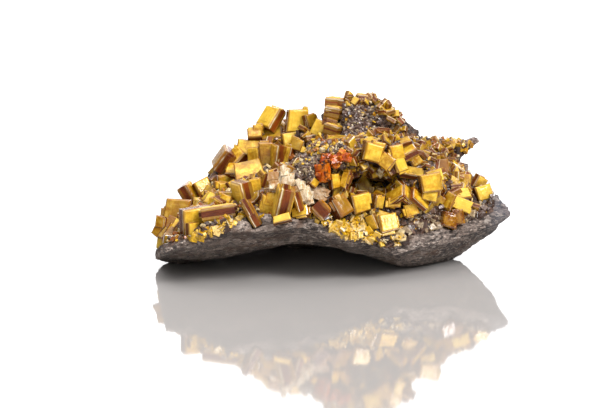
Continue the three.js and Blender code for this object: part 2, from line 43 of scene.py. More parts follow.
# Where it is seen from: a little above its front. Crystals are placed by the column and row of the
# picture that they show at, and the sight line through that place finds the rock they grow on.
EYE_DISTANCE = 430 * MM
EYE_ELEVATION = math.radians(12)
LOOKS_AT = Vector((-5.46, 0, 13.1)) * MM
PIXEL = 0.21 * MM  # what one pixel spans at the specimen
PICTURE_WIDTH, PICTURE_HEIGHT = 612, 408
SENSOR_WIDTH = 36
EYE = LOOKS_AT + EYE_DISTANCE * Vector((0, -math.cos(EYE_ELEVATION), math.sin(EYE_ELEVATION)))

camera = bpy.data.objects.new("camera", bpy.data.cameras.new("camera"))
bpy.context.scene.collection.objects.link(camera)
camera.data.sensor_width = SENSOR_WIDTH
camera.data.lens = SENSOR_WIDTH * EYE_DISTANCE / (PICTURE_WIDTH * PIXEL)
camera.data.clip_start = 0.01
camera.location = EYE
camera.rotation_euler = (math.pi / 2 - EYE_ELEVATION, 0, 0)
bpy.context.scene.camera = camera


def sight_line(column, row):
    """The direction from the eye to a place in the picture."""
    right = (column - PICTURE_WIDTH / 2) * PIXEL
    up = (PICTURE_HEIGHT / 2 - row) * PIXEL
    seen = LOOKS_AT + Vector((right, math.sin(EYE_ELEVATION) * up, math.cos(EYE_ELEVATION) * up))
    return (seen - EYE).normalized()


# The rock: a broken slab of dark grey, fine-grained limestone, arched underneath, with a brow over a
# hollow and a beak at the back. Its rim and underside are bare, and its top lies under a brown crust
# of small crystals. The shape is the frame's own rock, weathered at three scales.
RIM_AND_TOP = [  # spots on the top in millimetres, round the rim from the left front, then over the middle
    (-33.6, -22, 9.2), (-31.2, -20.8, 9.6), (-28.8, -19.8, 9.9), (-26, -21.4, 11), (-23.6, -22.4, 12.3),
    (-20.5, -21.4, 13.6), (-15.7, -19.8, 13.2), (-9.7, -19.2, 13.8), (-5, -16.2, 13.4), (-2.5, -17.4, 12.2),
    (0.4, -18.5, 11.3), (6, -16, 9.9), (9.1, -15, 8.8), (12.9, -14.5, 7.9), (19.4, -11.6, 8.7),
    (24.8, -8.4, 9.5), (30.1, -5.7, 10.3), (34, -4.6, 11.4), (37.2, -3.5, 12.8), (35.6, -0.6, 14.2),
    (34.6, 1.2, 15.6), (32.4, 4, 16.5), (30.2, 8, 17.4), (28.2, 11, 18.2), (27, 13.4, 20.8),
    (29.6, 16, 23.4), (32.6, 18.8, 24), (29, 20.4, 22.6), (23, 21.6, 17), (14, 22, 13), (5, 22.4, 11.5),
    (-5, 22.2, 11), (-14, 21, 11.5), (-22, 17.4, 10.5), (-29, 12, 8), (-33.6, 6.4, 5), (-37.2, -1.2, 3),
    (-36, -8, 5), (-35, -15, 7.4),
    (-30, -15, 10.6), (-24, -16, 13.4), (-16, -15, 15), (-10, -14.5, 15),
    (-31, -6, 10.4), (-25, -6, 13.6), (-18, -7, 16.4), (-11, -8, 18),
    (-29, 2, 12), (-23, 3, 16), (-17, 3, 19.4), (-10, 1, 21.6), (-30, 8, 11),
    (-23, 9, 18.4), (-17, 11, 22.4), (-11, 13, 25.6), (-5, 12, 26.6), (-12, 17.5, 22.5), (-20, 14, 17.5),
    (-5, -12.5, 17.5), (-2, -7, 23.5), (1, -1, 28), (4, 5, 32), (9, 7, 32.2), (13, 9, 28.4),
    (0, -15, 12.6), (5, -13.4, 12), (12, -12, 11), (15, -10, 12),
    (6, -8, 23.5), (12, -6, 23), (16, -3, 23), (10, 0, 28), (3, 12, 29), (8, 15, 26),
    (19, -8, 13.6), (20, -3, 18.6), (21, 5, 22.2), (19, 12, 24.6), (25, 14.4, 23.6), (29, 17.4, 23.8),
    (18, 18, 22.5), (2, 19, 21), (26, -5, 12.4), (27, 1, 15.6), (26, 7, 18.4), (32, -2, 13.2), (32, 1.6, 14.8),
]
LUMPS = [  # the middle and the half sizes of each rounded lump on it
    ((-7.4, -11.6, 18), (5, 3.8, 4.2)), ((-3.6, -9.6, 21.4), (4.6, 4, 3.6)), ((1, -7, 24.4), (5.6, 4.6, 3.4)),
    ((9.4, -5.6, 25), (7, 4.4, 3.4)), ((4.4, 6.2, 30.2), (5, 4.8, 4.6)), ((9.4, 7, 30), (4.6, 4.8, 4.4)),
    ((13, 6.4, 26.6), (4.4, 4.6, 3.8)), ((18.2, -6, 17.4), (3.6, 4.4, 4.6)), ((24, -3.4, 12.8), (5, 4, 2.6)),
]
HOLLOW = ((6.6, -3.6, 18.6), (8.2, 10.4, 3.8))
SOFTNESS = 1.2  # how round the top passes through its spots, in millimetres
VOXEL = 0.37 * MM
FRONT_EDGE_SPOTS = 19  # how many of the rim's spots run along the front edge
BARE_STRIP = ((-24, -18, 0, 4), (0.4, 2.2, 2.2, 0.3))  # x, and how far behind the front edge the rock is bare there
HOLLOW_CRUST = 1.35  # the crust reaches a little beyond the hollow
BEAK_START = (24.5, 18)  # right of this x and above this z it is the beak, which is thinned


def surface_through(spots):
    """The height of a soft surface that passes through all the spots, as a function of x and y."""
    spots = np.array(spots, float)
    gaps = spots[:, None, :2] - spots[None, :, :2]
    cones = np.sqrt((gaps**2).sum(2) + SOFTNESS**2)
    mean = spots[:, 2].mean()
    weights = np.linalg.solve(cones, spots[:, 2] - mean)

    def height(x, y):
        reach = (np.asarray(x)[..., None] - spots[:, 0]) ** 2 + (np.asarray(y)[..., None] - spots[:, 1]) ** 2
        return mean + np.sqrt(reach + SOFTNESS**2) @ weights

    return height


smooth_top = surface_through(RIM_AND_TOP)


def in_hollow(points, share=1.0):
    return (((points - HOLLOW[0]) / HOLLOW[1]) ** 2).sum(1) < share


def only_active(piece=None):
    """Deselects everything, then selects a piece where one is given."""
    for other in list(bpy.context.selected_objects):
        other.select_set(False)
    if piece:
        piece.select_set(True)
        bpy.context.view_layer.objects.active = piece


def edit(piece):
    only_active(piece)
    bpy.ops.object.mode_set(mode="EDIT")
    bpy.ops.mesh.select_all(action="SELECT")


def coordinates(mesh):
    flat = np.empty(len(mesh.vertices) * 3)
    mesh.vertices.foreach_get("co", flat)
    return flat.reshape(-1, 3)


def set_coordinates(mesh, points):
    mesh.vertices.foreach_set("co", np.ascontiguousarray(points).ravel())
    mesh.update()


def keep(piece, slot_name, *nodes):
    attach(piece, "root")
    if nodes:
        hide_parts(*nodes)
    return piece


def weathering(point, crusted):
    """How far the surface stands out at a point, in metres: rough under the crust, fine on bare rock."""
    broad = noise.noise(point * 330) * 0.4
    pits = noise.noise(point * 1000 + Vector((3, 1, 7))) * 0.34
    chips = abs(noise.noise(Vector((point.x * 420, point.y * 420, point.z * 900)))) * 0.34
    grit = noise.noise(point * 2100) * 0.1
    return (crusted * (broad + pits) + (1 - crusted) * (0.14 - chips + broad * 0.3) + grit) * MM


rock = bpy.data.objects.new("rock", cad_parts["matrix"].data.copy())
bpy.context.scene.collection.objects.link(rock)
edit(rock)
bpy.ops.mesh.remove_doubles(threshold=1e-6)
bpy.ops.object.mode_set(mode="OBJECT")
voxels = rock.modifiers.new("grain", "REMESH")
voxels.mode = "VOXEL"
voxels.voxel_size = VOXEL
bpy.ops.object.modifier_apply(modifier=voxels.name)
rock_points = coordinates(rock.data)
x, y, z = rock_points.T / MM
crust = np.clip((z - smooth_top(x, y) + 1.3) / 0.9, 0, 1)
front_edge = np.array(RIM_AND_TOP[:FRONT_EDGE_SPOTS])
behind_edge = y - np.interp(x, front_edge[:, 0], front_edge[:, 1])
crust = crust * np.clip(behind_edge - np.interp(x, *BARE_STRIP), 0, 1)
crust = np.maximum(crust, in_hollow(rock_points / MM, HOLLOW_CRUST))
beak = np.clip((x - BEAK_START[0]) / 2, 0, 1) * np.clip((z - BEAK_START[1]) / 1.5, 0, 1)
for vertex, point, crusted, thin in zip(rock.data.vertices, rock_points, crust, beak):
    point[:] = vertex.co + vertex.normal * (weathering(vertex.co, crusted) * (1 - thin) - 0.4 * MM * thin)
rock_points[:, 2] = np.maximum(rock_points[:, 2], 0)
set_coordinates(rock.data, rock_points)


def picture_place(point):
    """The column and row that a point shows at."""
    offset = point - EYE
    ahead = (LOOKS_AT - EYE).normalized()
    upward = Vector((1, 0, 0)).cross(ahead)
    scale = EYE_DISTANCE / PIXEL / offset.dot(ahead)
    return PICTURE_WIDTH / 2 + offset.x * scale, PICTURE_HEIGHT / 2 - offset.dot(upward) * scale


def inside(outline, column, row):
    """Whether a place in the picture lies within an outline drawn on it."""
    odd = False
    for (x0, y0), (x1, y1) in zip(outline, outline[1:] + outline[:1]):
        if (y0 > row) != (y1 > row) and column < x0 + (row - y0) * (x1 - x0) / (y1 - y0):
            odd = not odd
    return odd


PEAK_OUTLINE = [(342, 102), (368, 99), (388, 110), (398, 122), (408, 138), (396, 150), (350, 148), (340, 128)]
RIDGE_OUTLINE = [(292, 152), (318, 154), (332, 168), (332, 186), (318, 190), (296, 182), (284, 168)]
TIP_OUTLINE = [(488, 172), (516, 204), (512, 220), (494, 212)]
seen_places = [picture_place(vertex.co) for vertex in rock.data.vertices]
bare_top = np.array([inside(PEAK_OUTLINE, *place) or inside(RIDGE_OUTLINE, *place) for place in seen_places], float)
crust[[inside(TIP_OUTLINE, *place) for place in seen_places]] = 0
facing = np.array([vertex.normal.z for vertex in rock.data.vertices])
# Faces that turn downwards get painted shade: the rock's colour darkens towards near black under it.
painted_underside_shade = np.clip((-facing - 0.6) / 0.3, 0, 1)
painting = (("crusted", crust), ("bare_top", np.maximum(bare_top, beak)), ("painted_underside_shade", painted_underside_shade))
for name, values in painting:
    painted = rock.data.attributes.new(name, "FLOAT", "POINT")
    painted.data.foreach_set("value", values)


def new_material(name):
    material = bpy.data.materials.new(name)
    material.use_nodes = True
    tree = material.node_tree
    return material, tree, tree.nodes["Principled BSDF"]


class Wires:
    """Short hand for one node tree: nodes made and linked by name."""

    def __init__(self, tree):
        self.tree = tree

    def node(self, kind, inputs=(), **settings):
        made = self.tree.nodes.new(kind)
        for key, value in settings.items():
            setattr(made, key, value)
        for key, value in dict(inputs).items():
            self.put(made.inputs[key], value)
        return made

    def put(self, socket, value):
        if isinstance(value, bpy.types.NodeSocket):
            self.tree.links.new(value, socket)
        else:
            socket.default_value = value

    def math(self, operation, a, b=0.0, clamp=False):
        return self.node("ShaderNodeMath", {0: a, 1: b}, operation=operation, use_clamp=clamp).outputs[0]

    def span(self, value, low, high, to_low=0.0, to_high=1.0):
        made = self.node(
            "ShaderNodeMapRange",
            {"Value": value, "From Min": low, "From Max": high, "To Min": to_low, "To Max": to_high},
            interpolation_type="SMOOTHSTEP",
        )
        return made.outputs["Result"]

    def grained(self, place, scale, detail=3.0, rough=0.55, relief=0.0, depth=0.3, strength=0.6):
        """The shared grain at a scale, and the normal that it and any further relief give, depth in millimetres."""
        given = {"Place": place, "Scale": scale, "Detail": detail, "Rough": rough, "Relief": relief}
        given.update({"Depth": depth * MM, "Strength": strength})
        made = self.node("ShaderNodeGroup", node_tree=bpy.data.node_groups["mineral_grain"])
        for name, value in given.items():
            self.put(made.inputs[name], value)
        return made.outputs["Grain"], made.outputs["Normal"]

    def grain(self, place, scale, detail=3.0, rough=0.55):
        return self.grained(place, scale, detail, rough)[0]

    def stretch(self, vector, x, y, z):
        return self.node("ShaderNodeVectorMath", {0: vector, 1: (x, y, z)}, operation="MULTIPLY").outputs[0]

    def attribute(self, name, output="Fac"):
        made = self.node("ShaderNodeAttribute", attribute_name=name, attribute_type="GEOMETRY")
        return made.outputs[output]

    def mix(self, factor, a, b):
        made = self.node("ShaderNodeMix", data_type="RGBA")
        self.put(made.inputs[0], factor)
        self.put(made.inputs[6], a)
        self.put(made.inputs[7], b)
        return made.outputs[2]


def build_mineral_grain():
    """The grain that every mineral here shares: a mottle at a scale, and the normal of its relief."""
    group = bpy.data.node_groups.new("mineral_grain", "ShaderNodeTree")
    group.interface.new_socket("Place", in_out="INPUT", socket_type="NodeSocketVector")
    values = {"Scale": 1000, "Detail": 3, "Rough": 0.55, "Relief": 0, "Depth": 0.0003, "Strength": 0.6}
    for name, value in values.items():
        group.interface.new_socket(name, in_out="INPUT", socket_type="NodeSocketFloat").default_value = value
    group.interface.new_socket("Grain", in_out="OUTPUT", socket_type="NodeSocketFloat")
    group.interface.new_socket("Normal", in_out="OUTPUT", socket_type="NodeSocketVector")
    w = Wires(group)
    given = w.node("NodeGroupInput").outputs
    cloud = {"Vector": given["Place"], "Scale": given["Scale"], "Detail": given["Detail"], "Roughness": given["Rough"]}
    mottle = w.node("ShaderNodeTexNoise", cloud).outputs["Fac"]
    height = w.math("ADD", mottle, given["Relief"])
    raised = w.node("ShaderNodeBump", {"Height": height, "Distance": given["Depth"], "Strength": given["Strength"]})
    results = w.node("NodeGroupOutput").inputs
    w.put(results["Grain"], mottle)
    w.put(results["Normal"], raised.outputs["Normal"])


build_mineral_grain()


def rgb(red, green, blue):
    """A colour as 0 to 255, in the shader's linear values."""
    return tuple(((c / 255 + 0.055) / 1.055) ** 2.4 if c > 10 else c / 3294 for c in (red, green, blue)) + (1.0,)


def rock_material():
    material, tree, shader = new_material("grey_rock")
    w = Wires(tree)
    place = w.node("ShaderNodeTexCoord").outputs["Object"]
    coarse = w.grain(place, 170, 4, 0.6)
    fine = w.grain(w.stretch(place, 1, 1, 2.4), 1050, 4, 0.7)
    flakes = w.node("ShaderNodeTexVoronoi", {"Vector": w.stretch(place, 1, 1, 2.2), "Scale": 1250.0})
    flake = w.node("ShaderNodeSeparateColor", {0: flakes.outputs["Color"]}).outputs[0]
    bare = w.mix(w.span(coarse, 0.36, 0.66), rgb(76, 64, 58), rgb(152, 134, 123))
    bare = w.mix(w.math("MULTIPLY", w.span(flake, 0.55, 0.95), 0.7), bare, rgb(168, 150, 138))
    bare = w.mix(w.math("MULTIPLY", w.span(flake, 0.4, 0.05), 0.7), bare, rgb(38, 30, 28))
    bare = w.mix(w.span(fine, 0.55, 0.66), bare, rgb(204, 187, 174))
    bare = w.mix(w.span(fine, 0.46, 0.34), bare, rgb(20, 15, 14))
    rust = w.math("MULTIPLY", w.span(w.grain(place, 230, 4), 0.5, 0.64), 0.6)
    bare = w.mix(rust, bare, rgb(96, 66, 44))
    x = w.node("ShaderNodeSeparateXYZ", {0: place}).outputs["X"]
    ends = w.span(x, 0.031, 0.0355)
    bare = w.mix(w.math("MULTIPLY", ends, 0.45), bare, rgb(92, 98, 112))
    crusty = w.mix(w.span(fine, 0.38, 0.62), rgb(34, 22, 18), rgb(102, 78, 66))
    crusty = w.mix(w.math("MULTIPLY", w.span(coarse, 0.52, 0.64), 0.6), crusty, rgb(128, 92, 34))
    mauve = w.mix(w.span(fine, 0.38, 0.62), rgb(74, 56, 51), rgb(180, 158, 148))
    mauve = w.mix(rust, mauve, rgb(120, 74, 30))
    crusty = w.mix(w.attribute("bare_top"), crusty, mauve)
    crusted = w.attribute("crusted")
    colour = w.mix(w.span(crusted, 0.35, 0.75), bare, crusty)
    glint = w.math("GREATER_THAN", flake, 0.96)
    colour = w.mix(w.math("MULTIPLY", glint, 0.4), colour, rgb(200, 190, 180))
    # Painted shade: the downward faces darken towards near black.
    colour = w.mix(w.math("MULTIPLY", w.attribute("painted_underside_shade"), 0.5), colour, rgb(14, 11, 10))
    w.put(shader.inputs["Base Color"], colour)
    dull = w.span(fine, 0.3, 0.7, 0.45, 0.7)
    w.put(shader.inputs["Roughness"], w.math("SUBTRACT", dull, w.math("MULTIPLY", glint, 0.25)))
    chips = w.math("ADD", w.math("MULTIPLY", fine, 1.2), w.math("MULTIPLY", flake, 0.35))
    _, normal = w.grained(place, 4200, 2, 0.5, chips, 0.55, 0.95)
    w.put(shader.inputs["Normal"], normal)
    return material


rock.data.materials.clear()
rock.data.materials.append(rock_material())
keep(rock, "grey_rock", "matrix")
rock_tree = BVHTree.FromPolygons(coordinates(rock.data).tolist(), [tuple(f.vertices) for f in rock.data.polygons])

# The beak: a thin splinter of the same rock, one with it, that juts out at the back right with
# straight broken edges. Its corners are given by where they show in the picture and how far back,
# in millimetres, each one lies.
BEAK_CORNERS = [(432, 139.5, 15.5), (480.5, 140, 18.6), (456, 161.5, 14.6), (434, 166, 12)]
BEAK_THICKNESS = 1.7
BEAK_CHIPPED = 0.25


def point_at(column, row, depth):
    line = sight_line(column, row)
    return EYE + line * ((depth * MM - EYE.y) / line.y)


only_active()
bpy.ops.mesh.primitive_plane_add(size=1)
splinter = bpy.context.object
splinter.name = "beak_splinter"
ring = [point_at(*corner) for corner in BEAK_CORNERS]
for vertex, corner in zip(splinter.data.vertices, (ring[3], ring[2], ring[0], ring[1])):
    vertex.co = corner
edit(splinter)
bpy.ops.mesh.extrude_region_move(TRANSFORM_OT_translate={"value": (-0.2 * MM, BEAK_THICKNESS * MM, -0.5 * MM)})
bpy.ops.mesh.select_all(action="SELECT")
bpy.ops.mesh.bevel(offset=BEAK_CHIPPED * MM, segments=1, affect="EDGES")
bpy.ops.mesh.subdivide(number_cuts=7)
bpy.ops.mesh.select_all(action="SELECT")
bpy.ops.mesh.subdivide(number_cuts=2)
bpy.ops.mesh.normals_make_consistent(inside=False)
bpy.ops.object.mode_set(mode="OBJECT")
splinter_points = coordinates(splinter.data)
for vertex, point in zip(splinter.data.vertices, splinter_points):
    rough = noise.noise(vertex.co * 900) * 0.12 + noise.noise(vertex.co * 2100) * 0.08
    point[:] = vertex.co + vertex.normal * rough * MM
set_coordinates(splinter.data, splinter_points)
for name in ("crusted", "bare_top"):
    painted = splinter.data.attributes.new(name, "FLOAT", "POINT")
    painted.data.foreach_set("value", np.ones(len(splinter_points)))
splinter.data.materials.append(rock.data.materials[0])
keep(splinter, "grey_rock")

# The big crystals: thick square tablets with bevelled edges, honey yellow outside with a chocolate
# brown middle layer, so that a side shows a brown band between two yellow ones. Each grows out of
# the rock and keeps its own place in the groups of the frame.
FLAT_SIDE = 0.74  # the share of the thickness that is the upright side between the bevels
BEVEL_INSET = 0.2  # where the bevel ends on the model crystal, which is 2 across
STEP_INSET = 0.24
STEP_HEIGHT = 0.05
WORN_EDGE = 0.022
ROOT_DEPTH = 1.5  # how far up from the rock a crystal's foot is darkened, with painted shade and brown staining, in millimetres
CLEAR_OF_ROCK = 2.2  # a crystal's middle further off the rock than this would seem to float
BRIDGE_SPACING = 1.1
BRIDGED_SIZE = 1.5  # a crystal smaller than this needs no bridge


def raise_faces(piece, side, distance, share):
    """Extrudes the broad face on one side and sets the new face to a share of the full width.

    The edges that the other side's extrusion left selected are extruded too, which leaves loose faces
    inside the crystal.
    """
    for face in piece.data.polygons:
        face.select = face.normal.z * side > 0.9 and abs(face.center.x) < 0.01 and abs(face.center.y) < 0.01
    before = len(piece.data.vertices)
    bpy.ops.object.mode_set(mode="EDIT")
    bpy.ops.mesh.select_mode(type="FACE")
    bpy.ops.mesh.extrude_region_move(TRANSFORM_OT_translate={"value": (0, 0, distance * side)})
    bpy.ops.object.mode_set(mode="OBJECT")
    points = coordinates(piece.data)
    half = np.abs(points[before:, :2]).max()
    points[before:, :2] *= (share if share else half) / half
    set_coordinates(piece.data, points)


def model_rhomb():
    """A cleaved calcite block, 2 x 2 x 2, leaning over to one side, with its sharp edges just broken."""
    bpy.ops.mesh.primitive_cube_add(size=2)
    piece = bpy.context.object
    points = coordinates(piece.data)
    points[:, 0] += 0.26 * points[:, 1]
    points[:, 1] += 0.2 * points[:, 2]
    set_coordinates(piece.data, points * 0.85)
    edges = piece.modifiers.new("broken_edges", "BEVEL")
    edges.width = 0.05
    edges.segments = 1
    bpy.ops.object.modifier_apply(modifier=edges.name)
    shape = coordinates(piece.data), [tuple(face.vertices) for face in piece.data.polygons]
    bpy.data.objects.remove(piece)
    return shape


def model_tablet(steps, worn):
    """One crystal, 2 x 2 x 2, with bevels, and a growth step on each broad face where asked."""
    bpy.ops.mesh.primitive_cube_add(size=2)
    piece = bpy.context.object
    set_coordinates(piece.data, coordinates(piece.data) * (1, 1, FLAT_SIDE))
    for edge in piece.data.edges:
        edge.select = False
    for vertex in piece.data.vertices:
        vertex.select = False
    for side in (1, -1):
        raise_faces(piece, side, 1 - FLAT_SIDE, 1 - BEVEL_INSET)
        if steps:
            raise_faces(piece, side, 0.0, 1 - BEVEL_INSET - STEP_INSET)
            raise_faces(piece, side, STEP_HEIGHT, None)
    if worn:
        edges = piece.modifiers.new("worn_edges", "BEVEL")
        edges.width = worn
        edges.segments = 1
        edges.limit_method = "ANGLE"
        edges.angle_limit = math.radians(25)
        bpy.ops.object.modifier_apply(modifier=edges.name)
    edit(piece)
    bpy.ops.mesh.normals_make_consistent(inside=False)
    bpy.ops.object.mode_set(mode="OBJECT")
    shape = coordinates(piece.data), [tuple(face.vertices) for face in piece.data.polygons]
    bpy.data.objects.remove(piece)
    return shape


only_active()
BIG_TABLET = model_tablet(True, WORN_EDGE)
SMALL_TABLET = model_tablet(False, 0)
RHOMB = model_rhomb()


def spot_on_rock(column, row):
    """Where a sight line meets the smooth rock or passes closest over it, and the line, in millimetres."""
    eye = np.array(EYE) / MM
    line = np.array(sight_line(column, row))
    depth = np.arange(-30, 30, 0.25)
    along = eye + ((depth - eye[1]) / line[1])[:, None] * line
    top = smooth_top(along[:, 0], along[:, 1])
    for at, size in LUMPS:
        flat = ((along[:, 0] - at[0]) / size[0]) ** 2 + ((along[:, 1] - at[1]) / size[1]) ** 2
        top = np.where(flat < 1, np.maximum(top, at[2] + size[2] * np.sqrt(np.clip(1 - flat, 0, 1))), top)
    above = along[:, 2] - top
    above = np.where(in_hollow(along), np.maximum(above, 0.1), above)
    under = np.nonzero(above < 0)[0]
    best = under[0] if len(under) else int(np.argmin(above))
    return along[best], line


def turned(turn, tilt, lean):
    """A tablet stands facing the front; it tilts up, turns to the right and leans to the right, in degrees."""
    return np.array(
        Matrix.Rotation(math.radians(lean), 3, "Y")
        @ Matrix.Rotation(math.radians(turn), 3, "Z")
        @ Matrix.Rotation(math.radians(90 - tilt), 3, "X")
    )


class Crystals:
    """Gathers copies of a modelled crystal, then makes one piece of them with growth places and tints."""

    def __init__(self, seed):
        self.random = np.random.default_rng(seed)
        self.points, self.faces, self.growth, self.tint, self.core = [], [], [], [], []
        self.count = 0

    def add(self, centre, rotation, width, height, thickness, tint, core, shape=BIG_TABLET):
        """A copy of a model crystal at its own size, with bevels of even width and a slight taper and shear."""
        points, faces = shape
        bevel = min(0.12 * thickness, 0.12 * width, 0.12 * height)
        inner = 1 - BEVEL_INSET
        shaped = np.empty_like(points)
        for axis, length in ((0, width), (1, height)):
            c = np.abs(points[:, axis])
            flat = length / 2 - bevel
            outer = flat + (c - inner) / BEVEL_INSET * bevel
            shaped[:, axis] = np.sign(points[:, axis]) * np.where(c < inner, c / inner * flat, outer)
        shaped[:, 2] = points[:, 2] * thickness / 2
        stepped = np.abs(points[:, 2]) > 1.02
        drift = self.random.uniform(-0.09, 0.09, 2) * (width, height)
        shaped[stepped, :2] = shaped[stepped, :2] * self.random.uniform(0.5, 1.2) + drift
        taper = self.random.uniform(-0.07, 0.07, 2)
        shaped[:, 0] *= 1 + taper[0] * points[:, 1]
        shaped[:, 1] *= 1 + taper[1] * points[:, 0]
        shear = self.random.uniform(-0.07, 0.07, 2)
        shaped[:, 0] += shaped[:, 1] * shear[0]
        shaped[:, 1] += shaped[:, 0] * shear[1]
        world = shaped @ rotation.T + np.asarray(centre)
        self.points.append(world * MM)
        self.faces += [tuple(self.count + v for v in face) for face in faces]
        self.growth.append(points)
        self.tint.append(np.full(len(points), tint))
        self.core.append(np.full(len(points), core))
        self.count += len(points)

    def grow(self, records, tint=None, core=None):
        """A group's big crystals, each on the rock in its sight line, or as deep as the one before it."""
        earlier = None
        for column, row, proud, width, height, thickness, turn, tilt, lean in records:
            point, line = spot_on_rock(column, row)
            shade = self.random.uniform(0.12, 0.9) if tint is None else tint
            dark = self.random.uniform(0.75, 1.0) if core is None else core
            centre = point - line * proud
            clear = rock_tree.find_nearest(Vector(centre) * MM)[3] > CLEAR_OF_ROCK * MM
            if clear and earlier is not None:
                centre = centre + line * (earlier[1] - centre[1]) / line[1]
            earlier = centre
            attitude = turned(turn, tilt, lean)
            self.add(centre, attitude, width, height, thickness, shade, dark)
            self.join(centre, attitude, (width, height, thickness), shade, dark)
            self.bridge(centre, min(width, height))

    def join(self, centre, attitude, lengths, shade, dark):
        """Two smaller crystals grown into a big one, nearly parallel to it, which step its edges."""
        for _ in range(2):
            offset = self.random.uniform(-0.34, 0.34, 3) * lengths * (1, 1, 0.5)
            near = attitude @ turned(*(self.random.uniform(-5, 5, 3) + (0, 90, 0)))
            wide, tall, thick = self.random.uniform(0.5, 0.8, 3) * lengths
            tinted = shade + self.random.uniform(-0.2, 0.2)
            self.add(centre + attitude @ offset, near, wide, tall, thick, tinted, dark)

    def bridge(self, centre, size):
        """Fills the way from the rock to a crystal that stands clear of it with smaller ones."""
        foot, _, _, gap = rock_tree.find_nearest(Vector(centre) * MM)
        if gap < CLEAR_OF_ROCK * MM or size < BRIDGED_SIZE:
            return
        foot = np.array(foot) / MM
        for step in range(int(gap / MM / BRIDGE_SPACING - 0.6)):
            spot = foot + (centre - foot) * (step + 0.5) * BRIDGE_SPACING * MM / gap
            small = size * self.random.uniform(0.45, 0.75)
            self.add(spot, turned(*self.random.uniform(-50, 50, 3)), small, small, small * 0.7, 0.3, 0.9)

    def piece(self, name, material, slot_name, *nodes):
        """One piece of all the crystals, with the attributes that their material reads."""
        mesh = bpy.data.meshes.new(name)
        points = np.concatenate(self.points).tolist()
        mesh.from_pydata(points, [], self.faces)
        gaps = np.array([rock_tree.find_nearest(point)[3] for point in points])
        rooted = mesh.attributes.new("rooted", "FLOAT", "POINT")
        rooted.data.foreach_set("value", np.clip(1 - gaps / (ROOT_DEPTH * MM), 0, 1))
        growth = mesh.attributes.new("growth", "FLOAT_VECTOR", "POINT")
        growth.data.foreach_set("vector", np.concatenate(self.growth).ravel())
        tint = mesh.attributes.new("tint", "FLOAT", "POINT")
        tint.data.foreach_set("value", np.concatenate(self.tint))
        core = mesh.attributes.new("core", "FLOAT", "POINT")
        core.data.foreach_set("value", np.concatenate(self.core))
        mesh.materials.append(material)
        mesh.update()
        made = bpy.data.objects.new(name, mesh)
        bpy.context.scene.collection.objects.link(made)
        return keep(made, slot_name, *nodes)


